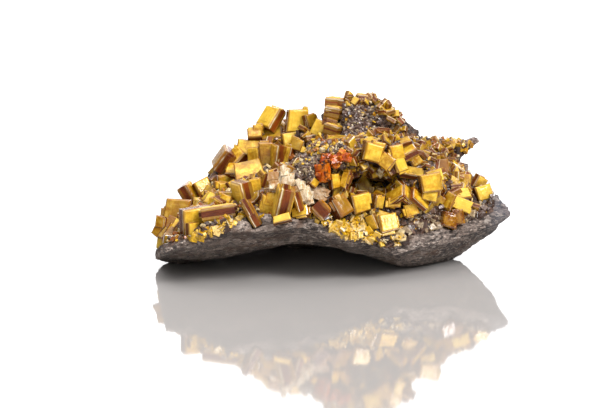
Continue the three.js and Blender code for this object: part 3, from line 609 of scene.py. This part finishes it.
def honey_material():
    material, tree, shader = new_material("honey_crystal")
    w = Wires(tree)
    place = w.node("ShaderNodeTexCoord").outputs["Object"]
    growth = w.attribute("growth", "Vector")
    tint = w.attribute("tint")
    axes = w.node("ShaderNodeSeparateXYZ", {0: growth})
    wobble = w.math("MULTIPLY", w.math("SUBTRACT", w.grain(place, 900, 2), 0.5), 0.16)
    level = w.math("ABSOLUTE", w.math("ADD", axes.outputs["Z"], wobble))
    layers = w.stretch(growth, 0.7, 0.7, 11.0)
    layered = w.node("ShaderNodeVectorMath", {0: layers, 1: place}, operation="ADD").outputs[0]
    streak = w.grain(layered, 1.6, 3, 0.6)
    mottle = w.grain(place, 640, 5, 0.65)
    cloud = w.grain(place, 170, 2)
    across = w.math("MAXIMUM", w.math("ABSOLUTE", axes.outputs["X"]), w.math("ABSOLUTE", axes.outputs["Y"]))
    yellow = w.mix(w.span(mottle, 0.36, 0.64), rgb(172, 118, 12), rgb(222, 178, 52))
    yellow = w.mix(w.span(mottle, 0.58, 0.7, 0, 0.6), yellow, rgb(238, 206, 110))
    yellow = w.mix(w.span(tint, 0.6, 1.0, 0, 0.8), yellow, rgb(240, 198, 72))
    yellow = w.mix(w.span(tint, 0.5, 0.0, 0, 0.9), yellow, rgb(118, 68, 10))
    yellow = w.mix(w.math("MULTIPLY", w.span(cloud, 0.55, 0.68), 0.6), yellow, rgb(138, 100, 12))
    # Each crystal's yellow darkens towards its edges: partly its brown layer, partly a painted dark reflection.
    yellow = w.mix(w.span(across, 0.84, 1.0, 0, 0.75), yellow, rgb(104, 54, 6))
    # The bevel facets are tinted a darker orange: a painted dark reflection of the surroundings.
    on_bevel = w.math("MULTIPLY", w.span(level, 0.75, 0.8), w.span(level, 0.98, 0.92))
    yellow = w.mix(w.math("MULTIPLY", on_bevel, 0.35), yellow, rgb(160, 98, 6))
    brown = w.mix(w.span(streak, 0.34, 0.66), rgb(60, 20, 5), rgb(116, 52, 16))
    brown = w.mix(w.math("MULTIPLY", w.span(cloud, 0.5, 0.62), 0.4), brown, rgb(156, 76, 14))
    side = w.math("ADD", axes.outputs["Z"], wobble)
    # A painted highlight: a pale cream stripe on one yellow layer of each side, beside the brown band.
    painted_side_glint = w.math("MULTIPLY", w.span(side, 0.52, 0.58), w.span(side, 0.76, 0.7))
    painted_side_glint = w.math("MULTIPLY", painted_side_glint, w.span(streak, 0.4, 0.55, 0.3, 0.8))
    painted_side_glint = w.math("MULTIPLY", painted_side_glint, w.span(cloud, 0.42, 0.58, 0.1, 1.0))
    yellow = w.mix(painted_side_glint, yellow, rgb(250, 236, 200))
    reach = w.math("MULTIPLY", w.attribute("core"), 0.5)
    band = w.span(w.math("SUBTRACT", reach, level), -0.02, 0.05)
    colour = w.mix(band, yellow, brown)
    # Darker towards the foot on the rock: painted shade where the crystal meets the rock, with brown staining.
    stain_and_root_shade = w.math("MULTIPLY", w.attribute("rooted"), w.span(mottle, 0.25, 0.55, 1.0, 0.7))
    colour = w.mix(w.math("MULTIPLY", stain_and_root_shade, 0.75), colour, rgb(52, 28, 8))
    w.put(shader.inputs["Base Color"], colour)
    dull = w.span(mottle, 0.3, 0.7, 0.12, 0.26)
    w.put(shader.inputs["Roughness"], w.math("SUBTRACT", dull, w.math("MULTIPLY", on_bevel, 0.08)))
    w.put(shader.inputs["Specular IOR Level"], w.span(band, 0.0, 1.0, 0.5, 0.28))
    w.put(shader.inputs["Coat Weight"], w.math("MULTIPLY", on_bevel, 0.3))
    shader.inputs["Coat Roughness"].default_value = 0.06
    shader.inputs["Coat IOR"].default_value = 2.0
    shader.inputs["Subsurface Weight"].default_value = 0.12
    shader.inputs["Subsurface Radius"].default_value = (1.0, 0.5, 0.15)
    shader.inputs["Subsurface Scale"].default_value = 0.0006
    shader.inputs["IOR"].default_value = 1.5
    relief = w.math("MULTIPLY", streak, 1.2)
    _, normal = w.grained(place, 2000, 2, 0.5, relief, 0.08, 0.7)
    w.put(shader.inputs["Normal"], normal)
    return material


honey = honey_material()

# Each crystal of a group has the column and row of its middle, how far that stands before the rock,
# its width, height and thickness, all in millimetres, and its turn, tilt and lean in degrees.
TABLETS = {
    "left_front_plate": [(194, 224, 1.2, 5.6, 6.8, 3, 26, 4, 1)],
    "left_ledge_tablet": [(219, 213, 2.2, 7.3, 6, 3.1, 0, 104, -9)],
    "left_corner_cluster": [
        (178, 212, 0, 5.4, 5.6, 3, -14, 10, 8), (171, 231, 0.8, 4, 4.6, 2.2, -18, 20, 16),
        (161, 222, 0.4, 2, 2.4, 1.6, -30, 10, 5), (158, 231, 0.2, 2, 2.2, 1.4, -40, 0, 30),
        (162, 241, 0.3, 1.8, 3.4, 1.4, -30, 0, 10),
    ],
    "left_rear_tablet": [(189, 194, 0.8, 3.6, 4.6, 2.8, 78, 5, -27)],
    "left_rear_blocks": [
        (204, 190, 0.8, 3.4, 4.4, 2.8, 24, 18, -20), (214, 202, 0.9, 3.8, 2.8, 2.4, -15, 30, 25),
        (200, 202, 1, 2.4, 1.6, 1.8, 10, 20, 0),
    ],
    "left_rear_stack": [
        (223, 180, 0.8, 3.2, 2.4, 2.6, 24, 5, 0), (225, 188, 1, 3.4, 2.4, 2.6, 20, 10, 3),
        (226, 198, 1.2, 3.2, 2.9, 2.6, 6, 8, 0),
    ],
    "left_tall_tablet": [(244, 197, 1.8, 5, 6.6, 3.1, -64, 4, -15), (251, 214, 2.4, 2.8, 5.4, 2, -75, 0, -27)],
    "shelf_plate": [(249, 172, 1.6, 6, 5, 2.2, 8, 55, -14), (235, 171, 0.8, 3.6, 3.4, 1.8, -10, 60, 4)],
    "shelf_foot_blocks": [(257, 186, 1.2, 2.8, 3.4, 2.4, -16, 8, -14), (267, 184, 0.8, 3, 3.8, 2, 66, 0, 14)],
    "five_sided_block": [(268, 205, 1.5, 3.4, 4, 2.6, 10, 6, 14)],
    "middle_tall_tablet": [(283, 203, 2.4, 4.6, 7, 3.4, -82, 2, 11), (282, 219, 2, 3.6, 1.6, 2, 0, 30, -12)],
    "middle_slices": [(297, 201, 1.4, 2.8, 3.8, 1.6, -70, 0, -16), (301, 212, 1.4, 3.6, 2.2, 1.8, -20, 30, -20)],
    "turned_banded_tablet": [(320, 209, 1.5, 3.2, 3.2, 3.3, -80, 0, -42)],
    "lobe_edge_tablets": [(224, 160, 0.8, 4.4, 5, 3.2, -78, 4, 33), (237, 159, 0.9, 4.4, 4.4, 3, -60, 10, 36)],
    "lobe_upper_blocks": [(249, 149, 1, 5, 3.6, 2.6, -12, 24, 6), (256, 156, 1.2, 3, 3.8, 2.8, -30, 14, -10)],
    "lobe_dark_block": [
        (271, 137, 1.2, 5.2, 4, 2.8, -10, 62, -10), (255, 135, 0.8, 3.2, 2.6, 2.2, 0, 50, -4),
        (258, 129, 0.6, 2.2, 1.8, 1.8, 0, 10, 0),
    ],
    "lobe_upright_tablets": [
        (267, 154, 1.2, 3, 5, 2.6, -6, 8, -6), (278, 157, 1.4, 3.8, 5.2, 2.6, -74, 0, 8),
        (287, 155, 1.2, 2.6, 3.6, 2, -40, 10, 10),
    ],
    "summit_tablet": [(271, 119, 0.6, 4.6, 5, 2.8, -50, 38, 2)],
    "summit_block": [
        (297, 121, 0.6, 4.6, 5, 3, 12, 10, 2), (305, 111, 0.4, 1, 2, 1, 0, 0, 10),
        (310, 121, 0.6, 2.4, 3, 2.2, 30, 10, -10),
    ],
    "lobe_right_blocks": [(291, 141, 1, 3.8, 3.4, 2.4, 14, 20, -6), (298, 145, 1.8, 2.8, 2.6, 2.2, -24, 14, 14)],
    "notch_tablet": [(320, 129, 0.8, 3, 3.6, 2.4, -30, 10, 24)],
    "peak_stack": [
        (336, 104, 0.2, 3.6, 2.8, 3, -14, 96, 4), (334, 112, 0.6, 3.4, 2.8, 2.6, -20, 92, 8),
        (331, 121, 0.8, 3, 2.6, 2.8, -10, 96, 10), (333, 130, 0.8, 3, 2.4, 2.6, -30, 94, 12),
    ],
    "brow_block": [(372, 152, 1.2, 3.8, 3.8, 3.2, 12, 6, 14)],
    "brow_upright_blocks": [
        (386, 161, 1, 3, 3, 2.2, -10, 0, 40), (396, 152, 1.2, 3, 3, 2.2, 20, 6, -8),
        (399, 163, 1.2, 2.4, 3.6, 2.2, 22, 0, -20),
    ],
    "brow_banded_tablets": [(409, 153, 1.2, 3.4, 3, 2, 10, 76, -26), (413, 161, 1, 3, 2.8, 2.4, 40, 10, -28)],
    "brow_low_plate": [(411, 173, 0.8, 4.6, 2.6, 1.6, 6, 60, 10)],
    "ledge_banded_block": [(340, 207, 1.8, 3.6, 4.2, 3.2, 42, 14, -24)],
    "ledge_middle_blocks": [
        (360, 203, 1.4, 3.8, 3.8, 2.6, 24, 10, -6), (372, 200, 1.2, 2.4, 2.8, 1.8, -30, 8, 10),
        (378, 202, 1, 2.2, 2.6, 1.6, 40, 8, 14),
    ],
    "ledge_front_blocks": [
        (388, 224, 1.6, 3.8, 3.8, 2.8, 14, 30, -6), (383, 219, 1, 3.2, 2.8, 2.2, -20, 30, 20),
        (373, 222, 1, 2, 3.2, 1.8, -30, 10, -30),
    ],
    "hood_tablets": [
        (393, 189, 0.8, 4.6, 3, 1.6, -20, 70, -44), (396, 196, 1.4, 4.4, 3, 1.6, -20, 64, -36),
        (408, 197, 1.4, 4.4, 3, 1.6, 24, 64, 50), (394, 203, 1.4, 2.8, 2, 1.8, 4, 16, 2),
    ],
    "hood_foot_block": [(411, 210, 1.2, 2.9, 2.6, 2.2, 10, 14, -14)],
    "right_thin_plate": [(419, 200, 1, 4.6, 2.6, 1.4, 20, 60, 44)],
    "bright_slope_block": [(430, 183, 1.4, 4.2, 3.8, 2.8, 14, 14, -6), (429, 195, 0.9, 3.2, 2.4, 2.2, 10, 10, 10)],
    "right_long_plate": [(461, 204, 1, 4.4, 2.6, 1.8, -8, 12, 24), (450, 201, 1, 2.4, 3.4, 1.6, -40, 10, 20)],
    "right_end_blocks": [(483, 193, 0.9, 3.6, 3.2, 2, 24, 14, -12), (479, 182, 0.6, 2.8, 2.6, 2, 30, 10, 36)],
    "hollow_crust": [
        (346, 180, 1.4, 1.8, 3.2, 1.4, -50, 6, 12), (351, 189, 1, 1.2, 3, 1, -20, 10, -42),
        (358, 183, 1.2, 1.2, 3.2, 1, 30, 10, 44), (365, 184, 1, 3, 2.8, 1.6, 14, 20, -20),
        (379, 193, 1, 2.6, 2.4, 1.6, -10, 20, 10), (334, 181, 0.8, 2.2, 3, 1.6, 40, 10, 0),
    ],
}
PALE = ("bright_slope_block", "five_sided_block", "ledge_middle_blocks", "ledge_front_blocks", "left_front_plate")
PALE_TINT = 0.75
THIN_BANDED = (
    "bright_slope_block", "peak_stack", "ledge_middle_blocks", "ledge_front_blocks", "brow_block",
    "right_long_plate",
)
THIN_BAND = 0.3
big_groups = []
for number, (name, records) in enumerate(TABLETS.items()):
    cluster = Crystals(100 + number)
    cluster.grow(records, PALE_TINT if name in PALE else None, THIN_BAND if name in THIN_BANDED else None)
    cluster.piece(name + "_crystals", honey, "honey_crystal", name)
    big_groups.append(cluster)

# The lip's tablets: slender ones of the same honey mineral that stand on the hollow's lower lip,
# before its dark, with their feet in the rock. Each is placed by the column of its foot and the row
# of its middle.
LIP_ROW = 199
LIP_CRYSTALS = [
    (337, 186, 2.2, 4.4, 1.5, 30, 0, 10), (346, 182, 1.5, 5.0, 1.3, -40, 4, 8),
    (353, 189, 1.3, 4.2, 1.1, -20, 8, -38), (358, 184, 1.3, 4.6, 1.1, 26, 4, 36),
    (364, 188, 2.8, 3.6, 1.5, 16, 16, -18), (369, 193, 2.2, 3.0, 1.3, -14, 12, 14),
    (341, 193, 2.6, 3.0, 1.4, 10, 20, -14),
]
lip = Crystals(31)
for column, row, width, height, thickness, turn, tilt, lean in LIP_CRYSTALS:
    foot, _ = spot_on_rock(column, LIP_ROW)
    raised = foot + (0, 0.4, (LIP_ROW - row) * PIXEL / MM)
    lip.add(raised, turned(turn, tilt, lean), width, height, thickness, 0.6, 0.4)
lip.piece("lip_tablets", honey, "honey_crystal")
big_groups.append(lip)

# The calcite: a cream white block and a patch left of the middle, each of cleaved rhombs grown
# together, with fine ribs and honey stains. They sit on the rock under the grey ridge.
CALCITE = {
    "calcite_block": [(282, 180, 1.6, 4.8, 4.8, 3, -10, 10, -8)],
    "calcite_patch": [(302, 194, 0.8, 3.4, 5.2, 2, -20, 10, -24), (317, 193, 0.8, 4.4, 2.6, 1.8, 0, 20, 20)],
}
RHOMBS_IN_EACH = 22
STAINED_FROM = 310  # the column right of which honey stains the calcite


def calcite_material():
    material, tree, shader = new_material("cream_calcite")
    w = Wires(tree)
    place = w.node("ShaderNodeTexCoord").outputs["Object"]
    ribs, normal = w.grained(w.stretch(place, 1.6, 1.0, 0.8), 1300, 4, 0.65, 0.0, 0.22, 0.7)
    stain_and_root_shade = w.grain(place, 420, 3)
    colour = w.mix(w.span(ribs, 0.34, 0.62), rgb(190, 160, 116), rgb(240, 226, 200))
    colour = w.mix(w.span(stain_and_root_shade, 0.48, 0.62, 0, 0.8), colour, rgb(164, 108, 36))
    colour = w.mix(w.span(w.attribute("tint"), 0.5, 0.0, 0, 0.8), colour, rgb(140, 96, 44))
    # Darker towards the foot on the rock: painted shade, with brown staining.
    colour = w.mix(w.math("MULTIPLY", w.attribute("rooted"), 0.8), colour, rgb(60, 34, 14))
    w.put(shader.inputs["Base Color"], colour)
    w.put(shader.inputs["Roughness"], w.span(ribs, 0.3, 0.7, 0.1, 0.34))
    shader.inputs["Subsurface Weight"].default_value = 0.25
    shader.inputs["Subsurface Radius"].default_value = (1.0, 0.8, 0.6)
    shader.inputs["Subsurface Scale"].default_value = 0.0008
    w.put(shader.inputs["Normal"], normal)
    return material


calcite = calcite_material()
for name, records in CALCITE.items():
    cluster = Crystals(5)
    for column, row, proud, width, height, thickness, turn, tilt, lean in records:
        point, line = spot_on_rock(column, row)
        block = turned(turn, tilt, lean)
        for _ in range(RHOMBS_IN_EACH):
            place = cluster.random.uniform(-0.38, 0.38, 3) * (width, height, thickness)
            stray = Matrix.Rotation(math.radians(cluster.random.uniform(-16, 16)), 3, cluster.random.normal(size=3))
            wide, tall, deep = cluster.random.uniform(0.24, 0.6, 3) * (width, height, 1.2 * thickness)
            attitude = block @ np.array(stray)
            stained = 0.1 if column > STAINED_FROM else 0.5
            cluster.add(point - line * proud + block @ place, attitude, wide, tall, deep, stained, 0.5, RHOMB)
    cluster.piece(name + "_crystals", calcite, "cream_calcite", name)
    big_groups.append(cluster)

# The orange-red crystals: a caramel tablet beside the calcite and a row of small, glossy, broken
# ones under the brow, grown on the rock among the druse.
ORANGE = {
    "orange_tablet": [(323, 172, 1, 2.8, 3.4, 2, -30, 10, -14)],
    "orange_crystals": [
        (326, 160, 0.8, 2.4, 2, 1.8, 0, 20, 20), (335, 161, 0.8, 2.4, 1.8, 1.6, 20, 30, -10),
        (344, 157, 0.8, 2.6, 1.8, 1.6, -20, 20, 10),
    ],
}
BROKEN_BITS = 12  # small ones round each


def orange_material():
    material, tree, shader = new_material("orange_crystal")
    w = Wires(tree)
    place = w.node("ShaderNodeTexCoord").outputs["Object"]
    patches, normal = w.grained(place, 800, 3, 0.55, 0.0, 0.5, 0.8)
    colour = w.mix(w.span(patches, 0.38, 0.54), rgb(62, 26, 6), rgb(184, 96, 8))
    colour = w.mix(w.span(patches, 0.54, 0.66), colour, rgb(206, 140, 50))
    red = w.math("MULTIPLY", w.span(w.grain(place, 500, 2), 0.48, 0.6), 0.7)
    colour = w.mix(red, colour, rgb(172, 64, 3))
    w.put(shader.inputs["Base Color"], colour)
    w.put(shader.inputs["Roughness"], w.span(patches, 0.3, 0.7, 0.1, 0.3))
    w.put(shader.inputs["Normal"], normal)
    shader.inputs["IOR"].default_value = 1.6
    shader.inputs["Specular IOR Level"].default_value = 0.32
    return material


orange = orange_material()
for name, records in ORANGE.items():
    cluster = Crystals(6)
    cluster.grow(records, 0.05)
    for column, row, proud, width, height, thickness, turn, tilt, lean in records:
        point, line = spot_on_rock(column, row)
        for _ in range(BROKEN_BITS):
            way = cluster.random.normal(size=3)
            at = point - line * proud + way / np.linalg.norm(way) * width * 0.5
            stray = turned(*cluster.random.uniform(-90, 90, 3))
            small = cluster.random.uniform(0.5, 1.1)
            cluster.add(at, stray, small, small * 0.8, small * 0.6, 0.05, 0.5, SMALL_TABLET)
    cluster.piece(name + "_crystals_small", orange, "orange_crystal", name)

# The amber crystals: two clear dark honey blocks at the right front, which the light passes through.
# They stand on the rim, between the dark druse and the rock's bare edge.
AMBER = [(449, 220, 1, 3.2, 3.2, 2.4, 10, 20, 20), (459, 217, 0.9, 2.2, 3, 2, -10, 10, -10)]


def amber_material():
    material, tree, shader = new_material("amber_crystal")
    w = Wires(tree)
    place = w.node("ShaderNodeTexCoord").outputs["Object"]
    cloud, normal = w.grained(place, 700, 3, 0.55, 0.0, 0.4, 0.6)
    w.put(shader.inputs["Base Color"], w.mix(w.span(cloud, 0.35, 0.65), rgb(140, 70, 4), rgb(214, 150, 30)))
    w.put(shader.inputs["Roughness"], w.span(cloud, 0.3, 0.7, 0.05, 0.2))
    w.put(shader.inputs["Normal"], normal)
    shader.inputs["Transmission Weight"].default_value = 0.55
    shader.inputs["IOR"].default_value = 1.65
    return material


cluster = Crystals(7)
cluster.grow(AMBER, 0.0)
cluster.piece("amber_blocks", amber_material(), "amber_crystal", "amber_crystals")

# The small crystals: honey tablets that fill the gaps between the big ones, and a sparkling druse of
# clear, yellow and brown grains. Both are rooted in the rock and grow thickly over its whole top.
RIGHT_SIDE = 405  # right of this column the specimen's outline is kept clear of them
big_points, big_faces = [], []
for group in big_groups:
    big_faces += [tuple(len(big_points) + v for v in face) for face in group.faces]
    big_points += np.concatenate(group.points).tolist()
big_tree = BVHTree.FromPolygons(big_points, big_faces)


def grown_out(normal, random, least, most):
    """A crystal's attitude: its broad face turned away from the rock's normal by least to most degrees."""
    side = Vector(random.normal(size=3)).cross(normal).normalized()
    away = math.radians(random.uniform(least, most))
    facing = normal * math.cos(away) + side * math.sin(away)
    frame_of = facing.to_track_quat("Z", "Y").to_matrix() @ Matrix.Rotation(random.uniform(0, math.pi), 3, "Z")
    return np.array(frame_of)


class Sown:
    """Keeps the places already taken, so that crystals don't pile up on one another."""

    def __init__(self):
        self.taken = {}

    def free(self, point, reach):
        cell = 1.0 * MM
        key = tuple(int(math.floor(c / cell)) for c in point)
        for dx in (-1, 0, 1):
            for dy in (-1, 0, 1):
                for dz in (-1, 0, 1):
                    for other in self.taken.get((key[0] + dx, key[1] + dy, key[2] + dz), ()):
                        if (other - point).length < reach:
                            return False
        self.taken.setdefault(key, []).append(point.copy())
        return True


def seen_spot(column, row):
    """The rock that shows at a place in the picture and its normal, unless a big crystal hides it."""
    line = sight_line(column, row)
    hit, normal, _, distance = rock_tree.ray_cast(EYE, line)
    if hit is None:
        return None
    big_hit, _, _, big_distance = big_tree.ray_cast(EYE, line)
    if big_hit is not None and big_distance < distance:
        return None
    return hit, normal


def hides_big(column, row, size):
    """Whether a small crystal there would stand before a big one, in the picture."""
    reach = size * 0.42 * MM / PIXEL
    for across, up in ((reach, 0), (-reach, 0), (0, reach), (0, -reach)):
        line = sight_line(column + across, row + up)
        rock_hit, _, _, rock_distance = rock_tree.ray_cast(EYE, line)
        big_hit, _, _, big_distance = big_tree.ray_cast(EYE, line)
        if big_hit is not None and (rock_hit is None or big_distance < rock_distance + 2 * MM):
            return True
    return False


def well_inside(column, row, size):
    """Whether a crystal there stays within what the picture shows of the specimen."""
    reach = size * MM / PIXEL
    return all(inside(TOP_OUTLINE, column + across, row + up) for across, up in ((reach, 0), (-reach, 0), (0, -reach)))


def sow(cluster, taken, outline, tries, sizes, spacing, tints, angles=(30, 85), flat=(0.45, 0.75)):
    """Sows small tablets where an outline in the picture shows rock between the big crystals."""
    columns = [corner[0] for corner in outline]
    rows = [corner[1] for corner in outline]
    for _ in range(tries):
        column = cluster.random.uniform(min(columns), max(columns))
        row = cluster.random.uniform(min(rows), max(rows))
        if not inside(outline, column, row):
            continue
        spot = seen_spot(column, row)
        size = cluster.random.uniform(*sizes)
        if column > RIGHT_SIDE and not well_inside(column, row, size * 0.5):
            continue
        if spot is None or hides_big(column, row, size) or not taken.free(spot[0], size * spacing * MM):
            continue
        plant(cluster, spot, size, tints, angles, flat)


def plant(cluster, spot, size, tints, angles, flat):
    """Adds one small crystal at a spot, its foot a little way in the rock."""
    hit, normal = spot
    random = cluster.random
    centre = np.array(hit) / MM + np.array(normal) * size * random.uniform(0.05, 0.3)
    attitude = grown_out(normal, random, *angles)
    thickness = size * random.uniform(*flat)
    tint = tints[int(random.integers(len(tints)))] + random.uniform(-0.06, 0.06)
    core = random.uniform(0.2, 1.0)
    cluster.add(centre, attitude, size * random.uniform(0.8, 1.15), size, thickness, tint, core, SMALL_TABLET)


def druse_material():
    material, tree, shader = new_material("sparkling_druse")
    w = Wires(tree)
    place = w.node("ShaderNodeTexCoord").outputs["Object"]
    tint = w.attribute("tint")
    ramp = w.node("ShaderNodeValToRGB", {"Fac": tint})
    dark, grey, cream, yellow, brown = (38, 20, 14), (114, 89, 78), (206, 186, 142), (208, 162, 16), (140, 74, 6)
    ramp.color_ramp.elements[0].color = rgb(*dark)
    ramp.color_ramp.elements[1].color = rgb(*brown)
    for at, colour in ((0.25, grey), (0.5, cream), (0.75, yellow)):
        ramp.color_ramp.elements.new(at).color = rgb(*colour)
    fine, normal = w.grained(place, 1500, 3)
    colour = w.mix(w.span(fine, 0.56, 0.34, 0, 0.5), ramp.outputs["Color"], rgb(74, 46, 16))
    w.put(shader.inputs["Base Color"], colour)
    w.put(shader.inputs["Roughness"], w.span(fine, 0.3, 0.7, 0.08, 0.3))
    w.put(shader.inputs["Normal"], normal)
    shader.inputs["IOR"].default_value = 1.6
    return material


druse = druse_material()
TOP_OUTLINE = [
    (158, 246), (153, 232), (165, 210), (183, 190), (214, 176), (214, 158), (243, 138), (263, 110), (307, 108),
    (317, 123), (327, 123), (331, 98), (372, 96), (400, 124), (417, 137), (480, 140), (456, 161), (494, 194),
    (496, 206), (482, 217), (431, 230), (388, 238), (336, 230), (290, 212), (260, 219), (237, 215), (202, 235),
    (166, 244),
]
LOBE_OUTLINE = [
    (155, 244), (153, 230), (165, 210), (183, 190), (214, 176), (214, 158), (243, 138), (263, 110), (307, 108),
    (326, 117), (330, 140), (300, 142), (284, 165), (270, 175), (266, 213), (237, 212), (200, 232),
]
LEFT_LEDGE_OUTLINE = [(184, 241), (200, 234), (222, 224), (238, 214), (247, 215), (226, 230), (205, 238)]
LEDGE_OUTLINE = [(317, 214), (345, 210), (380, 208), (398, 216), (404, 244), (386, 246), (352, 239), (326, 229)]
SPARKLING_OUTLINE = [(292, 142), (345, 137), (352, 150), (346, 172), (330, 186), (318, 154), (290, 154)]
MIDDLE_OUTLINE = [(300, 188), (332, 172), (346, 165), (372, 186), (384, 200), (378, 212), (330, 213), (306, 204)]
BROW_OUTLINE = [(345, 140), (400, 134), (425, 148), (430, 168), (420, 190), (396, 186), (384, 168), (352, 168)]
BRIGHT_OUTLINE = [(444, 164), (466, 174), (488, 188), (494, 206), (474, 208), (454, 216), (446, 190)]
SLOPE_OUTLINE = [(410, 142), (440, 144), (458, 160), (464, 176), (440, 170), (424, 178), (414, 160)]
DARK_OUTLINES = [
    [(430, 165), (442, 165), (449, 185), (446, 212), (436, 212), (431, 190)],
    [(400, 208), (444, 206), (444, 236), (404, 242)], [(474, 204), (497, 203), (496, 217), (476, 224)],
    [(442, 212), (478, 210), (478, 224), (442, 235)],
]
YELLOW_EDGES = [
    [(338, 97), (372, 97), (374, 103), (340, 105)], [(372, 99), (388, 104), (390, 116), (378, 114)],
    [(388, 112), (400, 114), (402, 124), (390, 122)], [(396, 122), (409, 124), (412, 138), (398, 136)],
    [(418, 138), (440, 139), (460, 143), (456, 150), (430, 150)],
]
# The tints that each kind of druse is picked from, as places on the druse material's colour ramp.
GREY = (0.15, 0.22, 0.28, 0.34)
DARK = (0.0, 0.05, 0.12, 0.2, 0.28, 0.34)
MIXED = (0.0, 0.1, 0.2, 0.3, 0.5, 0.7, 0.78, 0.95)
FILLER = (0.0, 0.05, 0.15, 0.25, 0.3, 0.72, 0.8, 0.9)
EDGY = (0.66, 0.72, 0.76, 0.78, 0.54, 0.7, 0.05)

taken = Sown()
lobe_small = Crystals(21)
sow(lobe_small, taken, LOBE_OUTLINE, 2600, (2.0, 3.2), 0.5, (0.3, 0.5, 0.65))
sow(lobe_small, taken, LOBE_OUTLINE, 4000, (1.2, 2.0), 0.5, (0.1, 0.3, 0.5, 0.65))
lobe_small.piece("lobe_small_tablets", honey, "honey_crystal")
right_small = Crystals(22)
grains = Crystals(23)
for outline in DARK_OUTLINES:
    sow(grains, taken, outline, 900, (0.7, 1.6), 0.5, DARK, (0, 90), (0.5, 1))
for outline in YELLOW_EDGES:
    sow(right_small, taken, outline, 120, (1.3, 2.3), 0.55, (0.5, 0.7, 0.8))
sow(right_small, taken, BRIGHT_OUTLINE, 700, (1.4, 2.4), 0.55, (0.6, 0.8, 0.95, 1.0))
sow(right_small, taken, SLOPE_OUTLINE, 340, (1.2, 2.0), 0.6, (0.3, 0.5, 0.75))
sow(right_small, taken, BROW_OUTLINE, 500, (1.2, 2.2), 0.6, (0.3, 0.5, 0.75))
sow(right_small, taken, MIDDLE_OUTLINE, 900, (1.2, 2.4), 0.55, (0.4, 0.6, 0.8))
right_small.piece("right_small_tablets", honey, "honey_crystal")
sow(grains, taken, LEFT_LEDGE_OUTLINE, 1600, (0.6, 1.6), 0.4, EDGY, (0, 70), (0.15, 0.4))
sow(grains, taken, LEDGE_OUTLINE, 3500, (0.6, 1.7), 0.4, EDGY, (0, 90), (0.15, 0.4))
sow(grains, taken, RIDGE_OUTLINE, 1800, (0.3, 0.65), 0.6, GREY + (0.36, 0.0, 0.05), (0, 90), (0.4, 1))
sow(grains, taken, PEAK_OUTLINE, 1200, (0.3, 0.7), 0.7, GREY + (0.36, 0.05, 0.1), (0, 90), (0.5, 1))
sow(grains, taken, SPARKLING_OUTLINE, 4000, (0.35, 1.0), 0.5, MIXED, (0, 90), (0.4, 1))
sow(grains, taken, TOP_OUTLINE, 12000, (0.5, 1.2), 0.5, FILLER, (0, 90), (0.3, 0.8))
grains.piece("druse_grains", druse, "cream_calcite")

# The crystals that the picture hides, over the back and the top: guessed, as the same mixture of
# banded tablets and druse, down to a bare lower rim.
back = Crystals(24)
back_grains = Crystals(25)
rock_faces = [f for f in rock.data.polygons if crust[f.vertices[0]] > 0.9]
face_areas = np.array([f.area for f in rock_faces])
for sizes, count, cluster, tints, spacing in (
    ((3.2, 5.2), 200, back, (0.2, 0.45, 0.7), 0.62),
    ((1.8, 3.0), 2600, back, (0.1, 0.35, 0.6, 0.8), 0.55),
    ((0.7, 1.4), 7000, back_grains, (0.05, 0.15, 0.5, 0.75, 1.0), 0.5),
):
    for index in cluster.random.choice(len(rock_faces), count, p=face_areas / face_areas.sum()):
        face = rock_faces[int(index)]
        size = cluster.random.uniform(*sizes)
        start, to_eye = face.center + face.normal * 0.3 * MM, EYE - face.center
        hidden = rock_tree.ray_cast(start, to_eye)[0] is not None or big_tree.ray_cast(start, to_eye)[0] is not None
        if not hidden and face.normal.dot(to_eye.normalized()) > 0.3:
            continue
        if size > 3 and face.center.y < 0 or big_tree.find_nearest(face.center, size * 0.4 * MM)[0] is not None:
            continue
        if not taken.free(face.center, sizes[0] * spacing * MM):
            continue
        column, row = picture_place(face.center)
        if not well_inside(column, row, size * (0.75 if size > 1.5 else 0.5)):
            continue
        plant(cluster, (face.center, face.normal), size, tints, (30, 85), (0.45, 0.75))
back.piece("back_tablets", honey, "honey_crystal")
back_grains.piece("back_grains", druse, "cream_calcite")

# The table top: glossy white, so that it mirrors the specimen faintly, and shows the bright backdrop
# behind it as pure white.
bpy.ops.mesh.primitive_plane_add(size=4, location=(0, 0, 0))
floor = bpy.context.object
floor.name = "floor"
white, _, white_shader = new_material("white_table")
white_shader.inputs["Base Color"].default_value = (0.40, 0.38, 0.368, 1)
white_shader.inputs["Roughness"].default_value = 0.05
white_shader.inputs["IOR"].default_value = 2.3
floor.data.materials.append(white)

# The studio is one smooth dome of light: a dim room with four soft glows, each given by its name,
# where it stands, how strong it is, and how narrow.
GLOWS = [
    ("key", (0.3, -0.26, 0.38), 40.0, 60), ("overhead", (-0.1, -0.05, 1.0), 4.2, 10),
    ("front", (-0.1, -0.6, 0.4), 2.3, 10), ("backdrop", (0, 1.0, 0.16), 2.6, 7),
]
ROOM = 0.08
world = bpy.data.worlds.new("studio")
bpy.context.scene.world = world
world.use_nodes = True
studio = Wires(world.node_tree)
direction = studio.node("ShaderNodeTexCoord").outputs["Generated"]
light = ROOM
for _, stand, strength, narrow in GLOWS:
    toward = Vector(stand).normalized()
    near = studio.node("ShaderNodeVectorMath", {0: direction, 1: toward}, operation="DOT_PRODUCT").outputs["Value"]
    glow = studio.math("POWER", studio.math("MAXIMUM", near, 0.0), narrow)
    light = studio.math("ADD", studio.math("MULTIPLY", glow, strength), light)
studio.put(world.node_tree.nodes["Background"].inputs["Strength"], light)
world.node_tree.nodes["Background"].inputs["Color"].default_value = (1, 1, 1, 1)
bpy.context.scene.view_settings.view_transform = "Standard"
